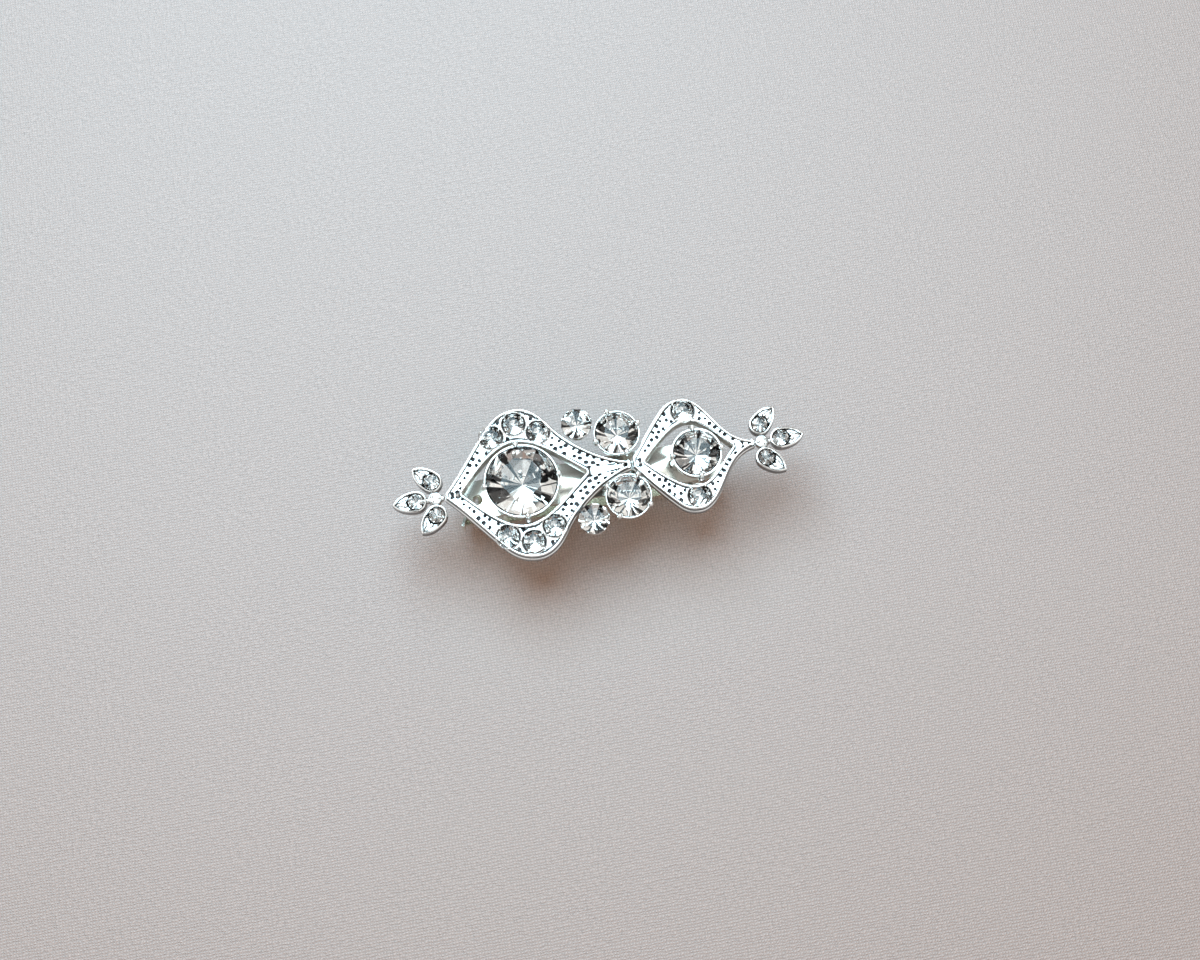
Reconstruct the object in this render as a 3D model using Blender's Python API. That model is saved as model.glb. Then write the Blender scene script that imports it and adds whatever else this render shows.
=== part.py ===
import math

import bmesh
import bpy
import numpy as np

MM = 0.001

# The clip lies with its clasp arm down: X along it, Y across it, Z up.
# All heights are above the arm's underside.

# Pierced ornament frames
FRAME_BOTTOM = 11.0 * MM
FRAME_TOP = 12.9 * MM
FRAME_EDGE = 0.18 * MM
FRAME_RIM = 0.55 * MM
CHANNEL_DEPTH = 0.3 * MM
POST_RADIUS = 0.7 * MM
LARGE_POST_X = 2.9 * MM
SMALL_POST_X = 6.35 * MM
CURVE_STEPS = 9
LEVEL_STEP = 1e-9

# Upper halves of the outlines, as cubic curves in millimetres; the lower halves mirror them
LARGE_OUTER = [
    [(-23.8, 0.5), (-21.0, 3.3), (-18.3, 7.2), (-16.2, 9.5)],
    [(-16.2, 9.5), (-14.9, 11.1), (-13.3, 12.0), (-11.2, 12.0)],
    [(-11.2, 12.0), (-9.3, 12.0), (-7.6, 10.7), (-6.2, 8.5)],
    [(-6.2, 8.5), (-4.4, 5.7), (0.2, 1.6), (4.95, 0.7)],
]
LARGE_INNER = [
    [(-21.1, 0.0), (-18.9, 2.2), (-15.6, 6.4), (-12.2, 6.4)],
    [(-12.2, 6.4), (-9.0, 6.4), (-6.0, 3.4), (-2.0, 0.0)],
]
SMALL_OUTER = [
    [(5.05, 0.7), (7.0, 3.2), (9.3, 6.2), (11.0, 7.9)],
    [(11.0, 7.9), (11.9, 8.8), (12.9, 9.1), (14.0, 9.1)],
    [(14.0, 9.1), (15.6, 9.1), (16.9, 7.8), (18.0, 6.1)],
    [(18.0, 6.1), (19.5, 4.0), (20.6, 1.2), (24.1, 0.55)],
]
SMALL_INNER = [
    [(7.2, 0.0), (9.0, 1.8), (11.8, 5.0), (14.4, 5.0)],
    [(14.4, 5.0), (16.8, 5.0), (18.6, 1.9), (20.6, 0.0)],
]

# Stones: radius, crown height, pavilion depth and height of the girdle's middle
GIRDLE = 0.1 * MM
TABLE_SHARE = 0.56
CROWN_RING_SHARE = 0.79
CROWN_RING_RISE = 0.53
PAVILION_RING_SHARE = 0.4
PAVILION_RING_DROP = 0.62
LEAF_TOP = FRAME_TOP - 0.15 * MM
BIG = {"radius": 5.4 * MM, "crown": 1.75 * MM, "pavilion": 4.1 * MM, "girdle": FRAME_TOP + 0.25 * MM}
CENTRE = {"radius": 3.5 * MM, "crown": 1.2 * MM, "pavilion": 2.75 * MM, "girdle": FRAME_TOP - 0.3 * MM}
MEDIUM = {"radius": 3.25 * MM, "crown": 1.15 * MM, "pavilion": 2.6 * MM, "girdle": FRAME_TOP - 0.25 * MM}
SMALL = {"radius": 2.4 * MM, "crown": 0.85 * MM, "pavilion": 1.9 * MM, "girdle": FRAME_TOP - 0.15 * MM}
PAVE = {"radius": 1.65 * MM, "crown": 0.55 * MM, "pavilion": 1.1 * MM, "girdle": FRAME_TOP - 0.3 * MM}
SPRIG = {"radius": 1.2 * MM, "crown": 0.42 * MM, "pavilion": 0.85 * MM, "girdle": LEAF_TOP - 0.2 * MM}

BIG_PLACE = (-11.9 * MM, 0.22 * MM)
CENTRE_PLACE = (15.1 * MM, 0.0)
MEDIUM_BACK_PLACE = (3.65 * MM, 5.25 * MM)
MEDIUM_FRONT_PLACE = (3.65 * MM, -4.9 * MM)
SMALL_BACK_PLACE = (-2.15 * MM, 7.75 * MM)
SMALL_FRONT_PLACE = (-2.15 * MM, -7.5 * MM)
LARGE_PAVE = ((-15.35 * MM, 7.9 * MM), (-11.65 * MM, 9.4 * MM), (-8.15 * MM, 7.5 * MM))
SMALL_PAVE = (14.2 * MM, 6.85 * MM)

# Cups and their bead-tipped prongs
STONE_GAP = 0.06 * MM
SEAT_GAP = 0.12 * MM
CUP_SKIRT = 1.0 * MM
CUP_FOOT_WIDTH = 1.1 * MM
CUP_FLOOR = 0.3 * MM
CUP_FOOT_SHARE = 0.1
PLAIN_CUP_EDGE = 0.12 * MM
PLAIN_CUP_WALL = 0.9 * MM
BIG_CUP_RADIUS = 5.8 * MM
CENTRE_CUP_RADIUS = 3.95 * MM
MEDIUM_CUP_RADIUS = 3.54 * MM
SMALL_CUP_RADIUS = 2.32 * MM
BIG_CUP_BOTTOM = 8.9 * MM
CENTRE_CUP_BOTTOM = 9.2 * MM
MEDIUM_CUP_BOTTOM = 9.5 * MM
SMALL_CUP_BOTTOM = 10.4 * MM
PRONG_RADIUS = 0.3 * MM
PRONG_CROWN = 0.1 * MM
WIRE_TURN = 0.13
BEAD_TURN = 0.31
PRONG_DROP = 1.6 * MM
BEAD_RADIUS = 0.42 * MM
BEAD_RISE = 0.57 * MM
BEAD_OUTSET = 0.22 * MM
MEDIUM_FRONT_TURN = -33.0
MEDIUM_BACK_TURN = 15.0
LUG_WIDTH = 1.4 * MM
BIG_LUG_END = 6.28 * MM
CENTRE_LUG_END = 4.55 * MM
LUG_LOW = FRAME_BOTTOM + 0.3 * MM
LUG_HIGH = FRAME_BOTTOM + 1.3 * MM
JOIN_GAP = 0.05 * MM

# Sprigs of three leaves at either end
LEAF_BOTTOM = FRAME_BOTTOM + 0.15 * MM
LEAF_RADIUS = 1.65 * MM
LEAF_REACH = 3.6 * MM
LEAF_RIM = 0.32 * MM
LEAF_TIP_RIM = 2.4 * LEAF_RIM
LEAF_RECESS = 0.3 * MM
MIDDLE_LEAF_X = 28.2 * MM
SIDE_LEAF = (25.45 * MM, 2.65 * MM)
SIDE_LEAF_ANGLE = 44.0
HUB_X = 25.3 * MM
HUB_RADIUS = 1.05 * MM
HUB_SHOULDER = 0.25 * MM
HUB_CROWN = 0.13 * MM
HUB_INNER = 0.6
HUB_INNER_RISE = 0.4
STALK_WIDTH = 1.0 * MM
STALK_LOW = FRAME_BOTTOM + 0.3 * MM
STALK_HIGH = FRAME_BOTTOM + 1.2 * MM
HUB_LOW = STALK_LOW - 0.05 * MM
STALK_STEP = 0.03 * MM
STEM_WIDTH = 1.1 * MM
STEM_HIGH = FRAME_BOTTOM + 1.35 * MM
LARGE_TIP_X = -23.8 * MM
SMALL_TIP_X = 24.1 * MM

# Barrette bar, an arched strip with a low rib along it
BAR_LEFT = -20.7 * MM
BAR_RIGHT = 19.2 * MM
BAR_HALF_WIDTH = 3.1 * MM
BAR_THICK = 0.6 * MM
BAR_UNDERSIDE = 8.0 * MM
BAR_DROP = 1.2 * MM
BAR_DROP_AT = 20.0 * MM
BAR_CORNER = 1.4 * MM
RIB_HALF_WIDTH = 1.2 * MM
RIB_RISE = 0.14 * MM
RIB_HALF_LENGTH = 12.5 * MM
END_HOLE_X = -19.1 * MM
END_HOLE_RADIUS = 0.8 * MM

# Hinge at the right-hand end
HINGE_X = 17.6 * MM
HINGE_Z = 5.2 * MM
PIN_RADIUS = 0.5 * MM
PIN_HALF_LENGTH = 3.05 * MM
LUG_BORE = 0.53 * MM
LUG_ROUND = 0.95 * MM
LUG_INNER = 2.3 * MM
LUG_OUTER = 2.9 * MM
LUG_TOP = 7.35 * MM

# Clasp arm
ARM_THICK = 0.8 * MM
ARM_HALF_WIDTH = 2.5 * MM
NECK_HALF_WIDTH = 2.0 * MM
NECK_X = 13.5 * MM
NECK_TAPER = 1.5 * MM
KNUCKLE_RADIUS = 1.0 * MM
KNUCKLE_OVER = 0.02 * MM
KNUCKLE_BORE = 0.55 * MM
ARM_PATH = [
    [(17.0, 4.75), (15.6, 3.6), (14.6, 0.4), (11.4, 0.4)],
    [(11.4, 0.4), (3.0, 0.4), (-5.5, 0.4), (-14.0, 0.4)],
    [(-14.0, 0.4), (-16.4, 0.4), (-16.6, 3.0), (-18.6, 3.0)],
    [(-18.6, 3.0), (-19.6, 3.0), (-20.6, 3.0), (-21.6, 3.0)],
]
WINDOW_LEFT = -20.9 * MM
WINDOW_RIGHT = -19.1 * MM
WINDOW_HALF_WIDTH = 1.8 * MM
WINDOW_LOW = 2.0 * MM
WINDOW_HIGH = 4.5 * MM

# Tension band
BAND_THICK = 0.3 * MM
BAND_HALF_WIDTH = 1.7 * MM
BAND_GAP = 0.15 * MM
BAND_ROOT_X = 12.9 * MM
BAND_BEND_X = 10.7 * MM
BAND_PATH = [
    [(10.7, 7.36), (7.5, 6.7), (2.5, 5.6), (-2.0, 5.6)],
    [(-2.0, 5.6), (-6.5, 5.6), (-10.0, 5.75), (-12.3, 6.1)],
]

# Catch at the left-hand end
CATCH_THICK = 0.4 * MM
CATCH_HALF_WIDTH = 2.0 * MM
CATCH_RIGHT = -13.7 * MM
CATCH_BEND_X = -15.9 * MM
CATCH_WALL_X = -16.3 * MM
CATCH_BEND_START = 0.2
CATCH_BOTTOM = 3.7 * MM
WING_TOP = 6.2 * MM
WING_PATH = [
    [(-16.58, 1.5), (-17.8, 1.5), (-19.0, 1.5), (-20.3, 1.5)],
    [(-20.3, 1.5), (-21.2, 1.5), (-21.6, 2.2), (-22.0, 3.3)],
]
BARB_LEFT = -20.5 * MM
BARB_RIGHT = -19.5 * MM
BARB_INNER = 1.35 * MM
BARB_OUTER = 1.72 * MM
BARB_BOTTOM = 2.1 * MM
BARB_OVERLAP = 0.4 * MM

# Rivets and solder pads
RIVET_RADIUS = 0.55 * MM
RIVET_HOLE = 0.62 * MM
RIVET_HEAD_RADIUS = 0.95 * MM
RIVET_HEAD = 0.35 * MM
RIVET_SHOULDER = 0.6
RIVET_SHOULDER_RISE = 0.8
RIVET_HEAD_GAP = 0.12 * MM
BAND_RIVET_X = 11.8 * MM
CATCH_RIVET_X = -14.9 * MM
LEFT_PAD_OUTER = 2.0 * MM
LEFT_PAD_INNER = 1.2 * MM
RIGHT_PAD_RADIUS = 1.3 * MM
RIGHT_PAD_TAPER = 0.8

SILVER = ((0.83, 0.84, 0.84, 1.0), 1.0, 0.16, 0.0)
STEEL = ((0.62, 0.6, 0.56, 1.0), 1.0, 0.3, 0.0)
SOLDER = ((0.55, 0.53, 0.5, 1.0), 1.0, 0.45, 0.0)
CRYSTAL = ((0.97, 0.98, 1.0, 1.0), 0.0, 0.03, 0.85)


def clear_scene():
    for obj in list(bpy.data.objects):
        bpy.data.objects.remove(obj, do_unlink=True)


def own_material(obj, look):
    colour, metallic, roughness, transmission = look
    material = bpy.data.materials.new(obj.name)
    material.use_nodes = True
    shader = material.node_tree.nodes["Principled BSDF"]
    shader.inputs["Base Color"].default_value = colour
    shader.inputs["Metallic"].default_value = metallic
    shader.inputs["Roughness"].default_value = roughness
    shader.inputs["Transmission Weight"].default_value = transmission
    obj.data.materials.append(material)


def mesh_object(name, points, faces, look=None):
    mesh = bpy.data.meshes.new(name)
    mesh.from_pydata([tuple(float(v) for v in point) for point in points], [], faces)
    shape = bmesh.new()
    shape.from_mesh(mesh)
    bmesh.ops.remove_doubles(shape, verts=shape.verts, dist=1e-6)
    bmesh.ops.recalc_face_normals(shape, faces=shape.faces)
    shape.to_mesh(mesh)
    shape.free()
    obj = bpy.data.objects.new(name, mesh)
    bpy.context.scene.collection.objects.link(obj)
    if look:
        own_material(obj, look)
    return obj


def combine(target, helper, operation):
    helper.hide_render = True
    helper.display_type = "WIRE"
    modifier = target.modifiers.new(operation.title(), "BOOLEAN")
    modifier.operation = operation
    modifier.solver = "EXACT"
    modifier.object = helper


def add(target, helper):
    combine(target, helper, "UNION")


def cut(target, helper):
    combine(target, helper, "DIFFERENCE")


def curve(points, steps):
    a, b, c, d = (np.array(point) for point in points)
    t = np.linspace(0.0, 1.0, steps + 1)[:, None]
    return (1 - t) ** 3 * a + 3 * (1 - t) ** 2 * t * b + 3 * (1 - t) * t**2 * c + t**3 * d


def path(curves, steps):
    parts = [curve(curves[0], steps)]
    parts += [curve(points, steps)[1:] for points in curves[1:]]
    return np.concatenate(parts) * MM


def mirrored_outline(curves, steps):
    upper = path(curves, steps)
    lower = upper[::-1] * (1.0, -1.0)
    lower = lower[np.abs(lower[:, 1]) > 1e-7]
    return np.concatenate([upper, lower])[::-1]


def offset_outline(outline, distance):
    # Moves each side of an anticlockwise outline outwards, and drops what then lies too near it
    ahead = np.roll(outline, -1, axis=0) - outline
    normal = np.stack([ahead[:, 1], -ahead[:, 0]], axis=1)
    normal /= np.linalg.norm(normal, axis=1)[:, None]
    moved = outline + ahead / 2 + normal * distance
    start = outline[None, :, :]
    along = ahead[None, :, :]
    reach = ((moved[:, None, :] - start) * along).sum(axis=2) / (along**2).sum(axis=2)
    nearest = start + np.clip(reach, 0.0, 1.0)[:, :, None] * along
    away = np.linalg.norm(moved[:, None, :] - nearest, axis=2).min(axis=1)
    return moved[away > abs(distance) * 0.985]


def prism(name, outline, low, high, look=None):
    count = len(outline)
    points = [(x, y, low) for x, y in outline] + [(x, y, high) for x, y in outline]
    sides = [(i, (i + 1) % count, count + (i + 1) % count, count + i) for i in range(count)]
    caps = [tuple(range(count))[::-1], tuple(range(count, 2 * count))]
    return mesh_object(name, points, sides + caps, look)


def side_prism(name, outline, low, high):
    # As prism, with the outline in X and Z and the length along Y
    count = len(outline)
    points = [(x, low, z) for x, z in outline] + [(x, high, z) for x, z in outline]
    sides = [(i, (i + 1) % count, count + (i + 1) % count, count + i) for i in range(count)]
    caps = [tuple(range(count))[::-1], tuple(range(count, 2 * count))]
    return mesh_object(name, points, sides + caps)


def block(name, low, high):
    outline = [(low[0], low[1]), (high[0], low[1]), (high[0], high[1]), (low[0], high[1])]
    return prism(name, outline, low[2], high[2])


def circle(centre, radius, count, start=0.0):
    angle = np.linspace(0.0, 2 * math.pi, count, endpoint=False) + start
    return np.stack([centre[0] + radius * np.cos(angle), centre[1] + radius * np.sin(angle)], axis=1)


def turned(name, profile, place, count, look=None, start=0.0):
    # Revolves a closed profile of radii and heights about a vertical axis
    angle = np.linspace(0.0, 2 * math.pi, count, endpoint=False) + start
    points = []
    for radius, height in profile:
        if radius < 1e-9:
            points += [(place[0], place[1], height)] * count
        else:
            x = place[0] + radius * np.cos(angle)
            y = place[1] + radius * np.sin(angle)
            points += [(px, py, height) for px, py in zip(x, y)]
    rows = len(profile)
    faces = []
    for row in range(rows):
        following = (row + 1) % rows
        if profile[row][0] < 1e-9 and profile[following][0] < 1e-9:
            continue
        for i in range(count):
            j = (i + 1) % count
            corners = [row * count + i, row * count + j, following * count + j, following * count + i]
            faces.append(tuple(corners))
    return mesh_object(name, points, faces, look)


def swept(name, sections, look=None):
    # Joins closed sections with the same number of points, and caps both ends
    count = len(sections[0])
    points = [point for section in sections for point in section]
    faces = []
    for row in range(len(sections) - 1):
        for i in range(count):
            j = (i + 1) % count
            faces.append((row * count + i, row * count + j, (row + 1) * count + j, (row + 1) * count + i))
    last = (len(sections) - 1) * count
    faces.append(tuple(range(count)))
    faces.append(tuple(range(last, last + count))[::-1])
    return mesh_object(name, points, faces, look)


def path_normals(line):
    # The ends of a level stretch take its direction, so that the stretch stays flat
    ahead = np.gradient(line, axis=0)
    level = np.abs(np.diff(line[:, 1])) < LEVEL_STEP
    ahead[:-1][level, 1] = 0.0
    ahead[1:][level, 1] = 0.0
    normal = np.stack([-ahead[:, 1], ahead[:, 0]], axis=1)
    return normal / np.linalg.norm(normal, axis=1)[:, None]


def strip(name, line, half_widths, thick, look):
    # A flat strip whose centre line runs in X and Z
    sections = []
    for (x, z), (nx, nz), half in zip(line, path_normals(line), half_widths):
        dx = nx * thick / 2
        dz = nz * thick / 2
        under = [(x - dx, -half, z - dz), (x - dx, half, z - dz)]
        over = [(x + dx, half, z + dz), (x + dx, -half, z + dz)]
        sections.append(under + over)
    return swept(name, sections, look)


def bar_underside(x):
    return BAR_UNDERSIDE - BAR_DROP * (x / BAR_DROP_AT) ** 2


def bar_top(x):
    return bar_underside(x) + BAR_THICK


def mirrored(place):
    return (place[0], -place[1])


def make_stone(name, place, stone, mains=8, turn=0.0):
    # Octagonal table, a crown ring between it and the girdle, and a pavilion that ends in a point
    radius = stone["radius"]
    upper = stone["girdle"] + GIRDLE
    lower = stone["girdle"] - GIRDLE
    crown = stone["crown"] - GIRDLE
    step = math.pi / mains
    start = math.radians(turn)
    behind = lower - PAVILION_RING_DROP * stone["pavilion"]
    rings = [
        (circle(place, radius * TABLE_SHARE, mains, start), upper + crown),
        (circle(place, radius * CROWN_RING_SHARE, mains, start + step), upper + CROWN_RING_RISE * crown),
        (circle(place, radius, 2 * mains, start), upper),
        (circle(place, radius, 2 * mains, start), lower),
        (circle(place, radius * PAVILION_RING_SHARE, mains, start + step), behind),
    ]
    shape = bmesh.new()
    for ring, height in rings:
        for x, y in ring:
            shape.verts.new((x, y, height))
    shape.verts.new((place[0], place[1], lower - stone["pavilion"]))
    bmesh.ops.convex_hull(shape, input=shape.verts)
    bmesh.ops.recalc_face_normals(shape, faces=shape.faces)
    mesh = bpy.data.meshes.new(name)
    shape.to_mesh(mesh)
    shape.free()
    obj = bpy.data.objects.new(name, mesh)
    bpy.context.scene.collection.objects.link(obj)
    own_material(obj, CRYSTAL)
    return obj


def cup_profile(stone, radius, bottom, rim_height):
    slope = stone["pavilion"] / stone["radius"]
    bore = stone["radius"] + STONE_GAP
    seat = stone["girdle"] - GIRDLE - SEAT_GAP
    tip = seat - bore * slope
    skirt = stone["girdle"] - CUP_SKIRT
    if tip > bottom + CUP_FLOOR / 2:
        foot = CUP_FOOT_WIDTH + CUP_FOOT_SHARE * radius
        profile = [(0.0, tip), (bore, seat), (bore, rim_height), (radius, rim_height)]
        return profile + [(radius, skirt), (foot, bottom), (0.0, bottom)]
    hole = bore - (seat - bottom) / slope
    foot = hole + CUP_FOOT_WIDTH
    profile = [(hole, bottom), (bore, seat), (bore, rim_height), (radius, rim_height)]
    return profile + [(radius, skirt), (foot, bottom)]


def add_prongs(cup, place, stone, radius, turn):
    top = stone["girdle"] + BEAD_RISE
    bead = stone["radius"] + BEAD_OUTSET
    for number in range(4):
        angle = math.radians(turn + 90.0 * number)
        foot = (place[0] + radius * math.cos(angle), place[1] + radius * math.sin(angle))
        tip = (place[0] + bead * math.cos(angle), place[1] + bead * math.sin(angle))
        low = stone["girdle"] - PRONG_DROP
        wire = [(0.0, low), (PRONG_RADIUS, low + PRONG_RADIUS), (PRONG_RADIUS, top), (0.0, top + PRONG_CROWN)]
        add(cup, turned(f"{cup.name}_wire_{number}", wire, foot, 8, start=angle + WIRE_TURN))
        levels = np.linspace(-math.pi / 2, math.pi / 2, 7)
        ball = [(max(BEAD_RADIUS * math.cos(a), 0.0), top + BEAD_RADIUS * math.sin(a)) for a in levels]
        ball[0] = (0.0, top - BEAD_RADIUS)
        ball[-1] = (0.0, top + BEAD_RADIUS)
        add(cup, turned(f"{cup.name}_bead_{number}", ball, tip, 10, start=angle + BEAD_TURN))


def make_cup(name, place, stone, radius, bottom, turn=0.0, prongs=True):
    if prongs:
        profile = cup_profile(stone, radius, bottom, stone["girdle"] + GIRDLE)
    else:
        # The stone is set over the edge of a plain cup, which ends under its girdle
        slope = stone["pavilion"] / stone["radius"]
        seat = stone["girdle"] - GIRDLE - SEAT_GAP - (stone["radius"] - radius) * slope
        tip = seat - radius * slope
        foot = CUP_FOOT_WIDTH
        edge = seat - PLAIN_CUP_EDGE * slope
        profile = [(0.0, tip), (radius - PLAIN_CUP_EDGE, edge), (radius, edge)]
        profile += [(radius, seat - PLAIN_CUP_WALL), (foot, bottom), (0.0, bottom)]
    cup = turned(name, profile, place, 32, SILVER, math.pi / 32)
    if prongs:
        add_prongs(cup, place, stone, radius, turn)
    return cup


def add_side_lugs(cup, place, inner, outer):
    for side, word in ((1, "back"), (-1, "front")):
        low, high = sorted((place[1] + side * inner, side * outer))
        corner = (place[0] - LUG_WIDTH / 2, low, LUG_LOW)
        add(cup, block(f"{cup.name}_lug_{word}", corner, (place[0] + LUG_WIDTH / 2, high, LUG_HIGH)))


def make_frame(name, outer_curves, inner_curves, pave, post_x):
    outer = mirrored_outline(outer_curves, CURVE_STEPS)
    inner = mirrored_outline(inner_curves, CURVE_STEPS)
    frame = prism(name, outer, FRAME_BOTTOM, FRAME_TOP, SILVER)
    edge = frame.modifiers.new("Edge", "BEVEL")
    edge.width = FRAME_EDGE
    edge.segments = 1
    edge.limit_method = "ANGLE"
    edge.angle_limit = math.radians(60)
    cut(frame, prism(f"{name}_opening", inner, FRAME_BOTTOM - MM, FRAME_TOP + MM))
    sunk = offset_outline(outer, -FRAME_RIM)
    channel = prism(f"{name}_channel", sunk, FRAME_TOP - CHANNEL_DEPTH, FRAME_TOP + MM)
    island = prism(f"{name}_island", offset_outline(inner, FRAME_RIM), FRAME_TOP - MM, FRAME_TOP + 2 * MM)
    cut(channel, island)
    cut(frame, channel)
    seat = PAVE["girdle"] - GIRDLE - PAVE["pavilion"] - SEAT_GAP
    for number, place in enumerate(pave):
        for side in (1, -1):
            ring = circle((place[0], side * place[1]), PAVE["radius"] + STONE_GAP, 24)
            cut(frame, prism(f"{name}_seat_{number}_{side + 1}", ring, seat, FRAME_TOP + MM))
    post = circle((post_x, 0.0), POST_RADIUS, 16)
    add(frame, prism(f"{name}_post", post, bar_top(0.0) + RIB_RISE + JOIN_GAP, FRAME_BOTTOM + 0.3 * MM))
    return frame


def leaf_outline(place, angle, radius, reach):
    # Round at the stone, drawn out to a point
    side = curve([(reach, 0.0), (0.66 * reach, 0.58 * radius), (0.33 * reach, radius), (0.0, radius)], 7)
    back = [(-radius * math.sin(a), radius * math.cos(a)) for a in np.linspace(0.0, math.pi, 13)[1:-1]]
    lower = side[::-1] * (1.0, -1.0)
    local = np.concatenate([side, back, lower[:-1]])
    turn = np.array([[math.cos(angle), math.sin(angle)], [-math.sin(angle), math.cos(angle)]])
    return local @ turn + place


def stalk_outline(start, end, width):
    start = np.array(start)
    end = np.array(end)
    ahead = (end - start) / np.linalg.norm(end - start)
    across = np.array([-ahead[1], ahead[0]]) * width / 2
    return np.array([start - across, end - across, end + across, start + across])


def sprig_leaves(side):
    angle = math.radians(SIDE_LEAF_ANGLE)
    lean = angle if side > 0 else math.pi - angle
    return (
        ("middle", (side * MIDDLE_LEAF_X, 0.0), 0.0 if side > 0 else math.pi),
        ("back", (side * SIDE_LEAF[0], SIDE_LEAF[1]), lean),
        ("front", (side * SIDE_LEAF[0], -SIDE_LEAF[1]), -lean),
    )


def make_sprig(name, side, tip_x):
    hub = (side * HUB_X, 0.0)
    dome = [(0.0, HUB_LOW), (HUB_RADIUS, HUB_LOW), (HUB_RADIUS, LEAF_TOP - HUB_SHOULDER)]
    dome += [(HUB_INNER * HUB_RADIUS, LEAF_TOP + HUB_INNER_RISE * HUB_CROWN), (0.0, LEAF_TOP + HUB_CROWN)]
    sprig = turned(name, dome, hub, 20, SILVER)
    stem = stalk_outline((tip_x + side * JOIN_GAP, 0.0), hub, STEM_WIDTH)
    add(sprig, prism(f"{name}_stem", stem, STALK_LOW, STEM_HIGH))
    leaves = sprig_leaves(side)
    for word, place, angle in leaves:
        stalk = stalk_outline(hub, place, STALK_WIDTH)
        add(sprig, prism(f"{name}_{word}_stalk", stalk, STALK_LOW + STALK_STEP, STALK_HIGH))
        outline = leaf_outline(place, angle, LEAF_RADIUS, LEAF_REACH)
        add(sprig, prism(f"{name}_{word}_leaf", outline, LEAF_BOTTOM, LEAF_TOP))
    seat = SPRIG["girdle"] - GIRDLE - SPRIG["pavilion"] - SEAT_GAP
    for word, place, angle in leaves:
        recess = leaf_outline(place, angle, LEAF_RADIUS - LEAF_RIM, LEAF_REACH - LEAF_TIP_RIM)
        cut(sprig, prism(f"{name}_{word}_recess", recess, LEAF_TOP - LEAF_RECESS, LEAF_TOP + MM))
        ring = circle(place, SPRIG["radius"] + STONE_GAP, 24)
        cut(sprig, prism(f"{name}_{word}_seat", ring, seat, LEAF_TOP + 2 * MM))
    return sprig


def bar_half_width(x):
    end = min(x - BAR_LEFT, BAR_RIGHT - x)
    if end >= BAR_CORNER:
        return BAR_HALF_WIDTH
    return BAR_HALF_WIDTH - BAR_CORNER + math.sqrt(max(BAR_CORNER**2 - (BAR_CORNER - end) ** 2, 0.0))


def make_top_bar():
    corner = BAR_CORNER * (1 - np.cos(np.linspace(0.0, math.pi / 2, 5)))
    middle = np.linspace(BAR_LEFT + BAR_CORNER, BAR_RIGHT - BAR_CORNER, 25)[1:-1]
    stations = np.concatenate([BAR_LEFT + corner, middle, (BAR_RIGHT - corner)[::-1]])
    sections = []
    for x in stations:
        half = bar_half_width(x)
        low = bar_underside(x)
        top = bar_top(x)
        fade = min(max((RIB_HALF_LENGTH - abs(x)) / (2 * MM), 0.0), 1.0)
        rib = top + RIB_RISE * fade
        inner = RIB_HALF_WIDTH
        outer = RIB_HALF_WIDTH + 0.25 * MM
        section = [(x, -half, low), (x, half, low), (x, half, top), (x, outer, top)]
        section += [(x, inner, rib), (x, -inner, rib), (x, -outer, top), (x, -half, top)]
        sections.append(section)
    bar = swept("top_bar", sections, STEEL)
    arc = [math.pi + a for a in np.linspace(0.0, math.pi, 9)]
    lug = [(HINGE_X + LUG_ROUND * math.cos(a), HINGE_Z + LUG_ROUND * math.sin(a)) for a in arc]
    lug += [(HINGE_X + LUG_ROUND, LUG_TOP), (HINGE_X - LUG_ROUND, LUG_TOP)]
    add(bar, side_prism("top_bar_lug_back", lug, LUG_INNER, LUG_OUTER))
    add(bar, side_prism("top_bar_lug_front", lug, -LUG_OUTER, -LUG_INNER))
    hinge = circle((HINGE_X, HINGE_Z), LUG_BORE, 24)
    cut(bar, side_prism("top_bar_pin_bore", hinge, -LUG_OUTER - MM, LUG_OUTER + MM))
    for word, x, radius in (
        ("end_hole", END_HOLE_X, END_HOLE_RADIUS),
        ("band_hole", BAND_RIVET_X, RIVET_HOLE),
        ("catch_hole", CATCH_RIVET_X, RIVET_HOLE),
    ):
        hole = circle((x, 0.0), radius, 24)
        cut(bar, prism(f"top_bar_{word}", hole, bar_underside(x) - MM, bar_top(x) + MM))
    return bar


def make_clasp_arm():
    line = path(ARM_PATH, CURVE_STEPS)
    ease = np.clip((NECK_X - line[:, 0]) / NECK_TAPER, 0.0, 1.0)
    widths = NECK_HALF_WIDTH + (ARM_HALF_WIDTH - NECK_HALF_WIDTH) * ease
    arm = strip("clasp_arm", line, widths, ARM_THICK, STEEL)
    knuckle = circle((HINGE_X, HINGE_Z), KNUCKLE_RADIUS, 24)
    reach = NECK_HALF_WIDTH + KNUCKLE_OVER
    add(arm, side_prism("clasp_arm_knuckle", knuckle, -reach, reach))
    bore = circle((HINGE_X, HINGE_Z), KNUCKLE_BORE, 24)
    cut(arm, side_prism("clasp_arm_bore", bore, -NECK_HALF_WIDTH - MM, NECK_HALF_WIDTH + MM))
    low = (WINDOW_LEFT, -WINDOW_HALF_WIDTH, WINDOW_LOW)
    cut(arm, block("clasp_arm_window", low, (WINDOW_RIGHT, WINDOW_HALF_WIDTH, WINDOW_HIGH)))
    return arm


def make_hinge_pin():
    ring = circle((HINGE_X, HINGE_Z), PIN_RADIUS, 24)
    pin = side_prism("hinge_pin", ring, -PIN_HALF_LENGTH, PIN_HALF_LENGTH)
    own_material(pin, STEEL)
    return pin


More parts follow.
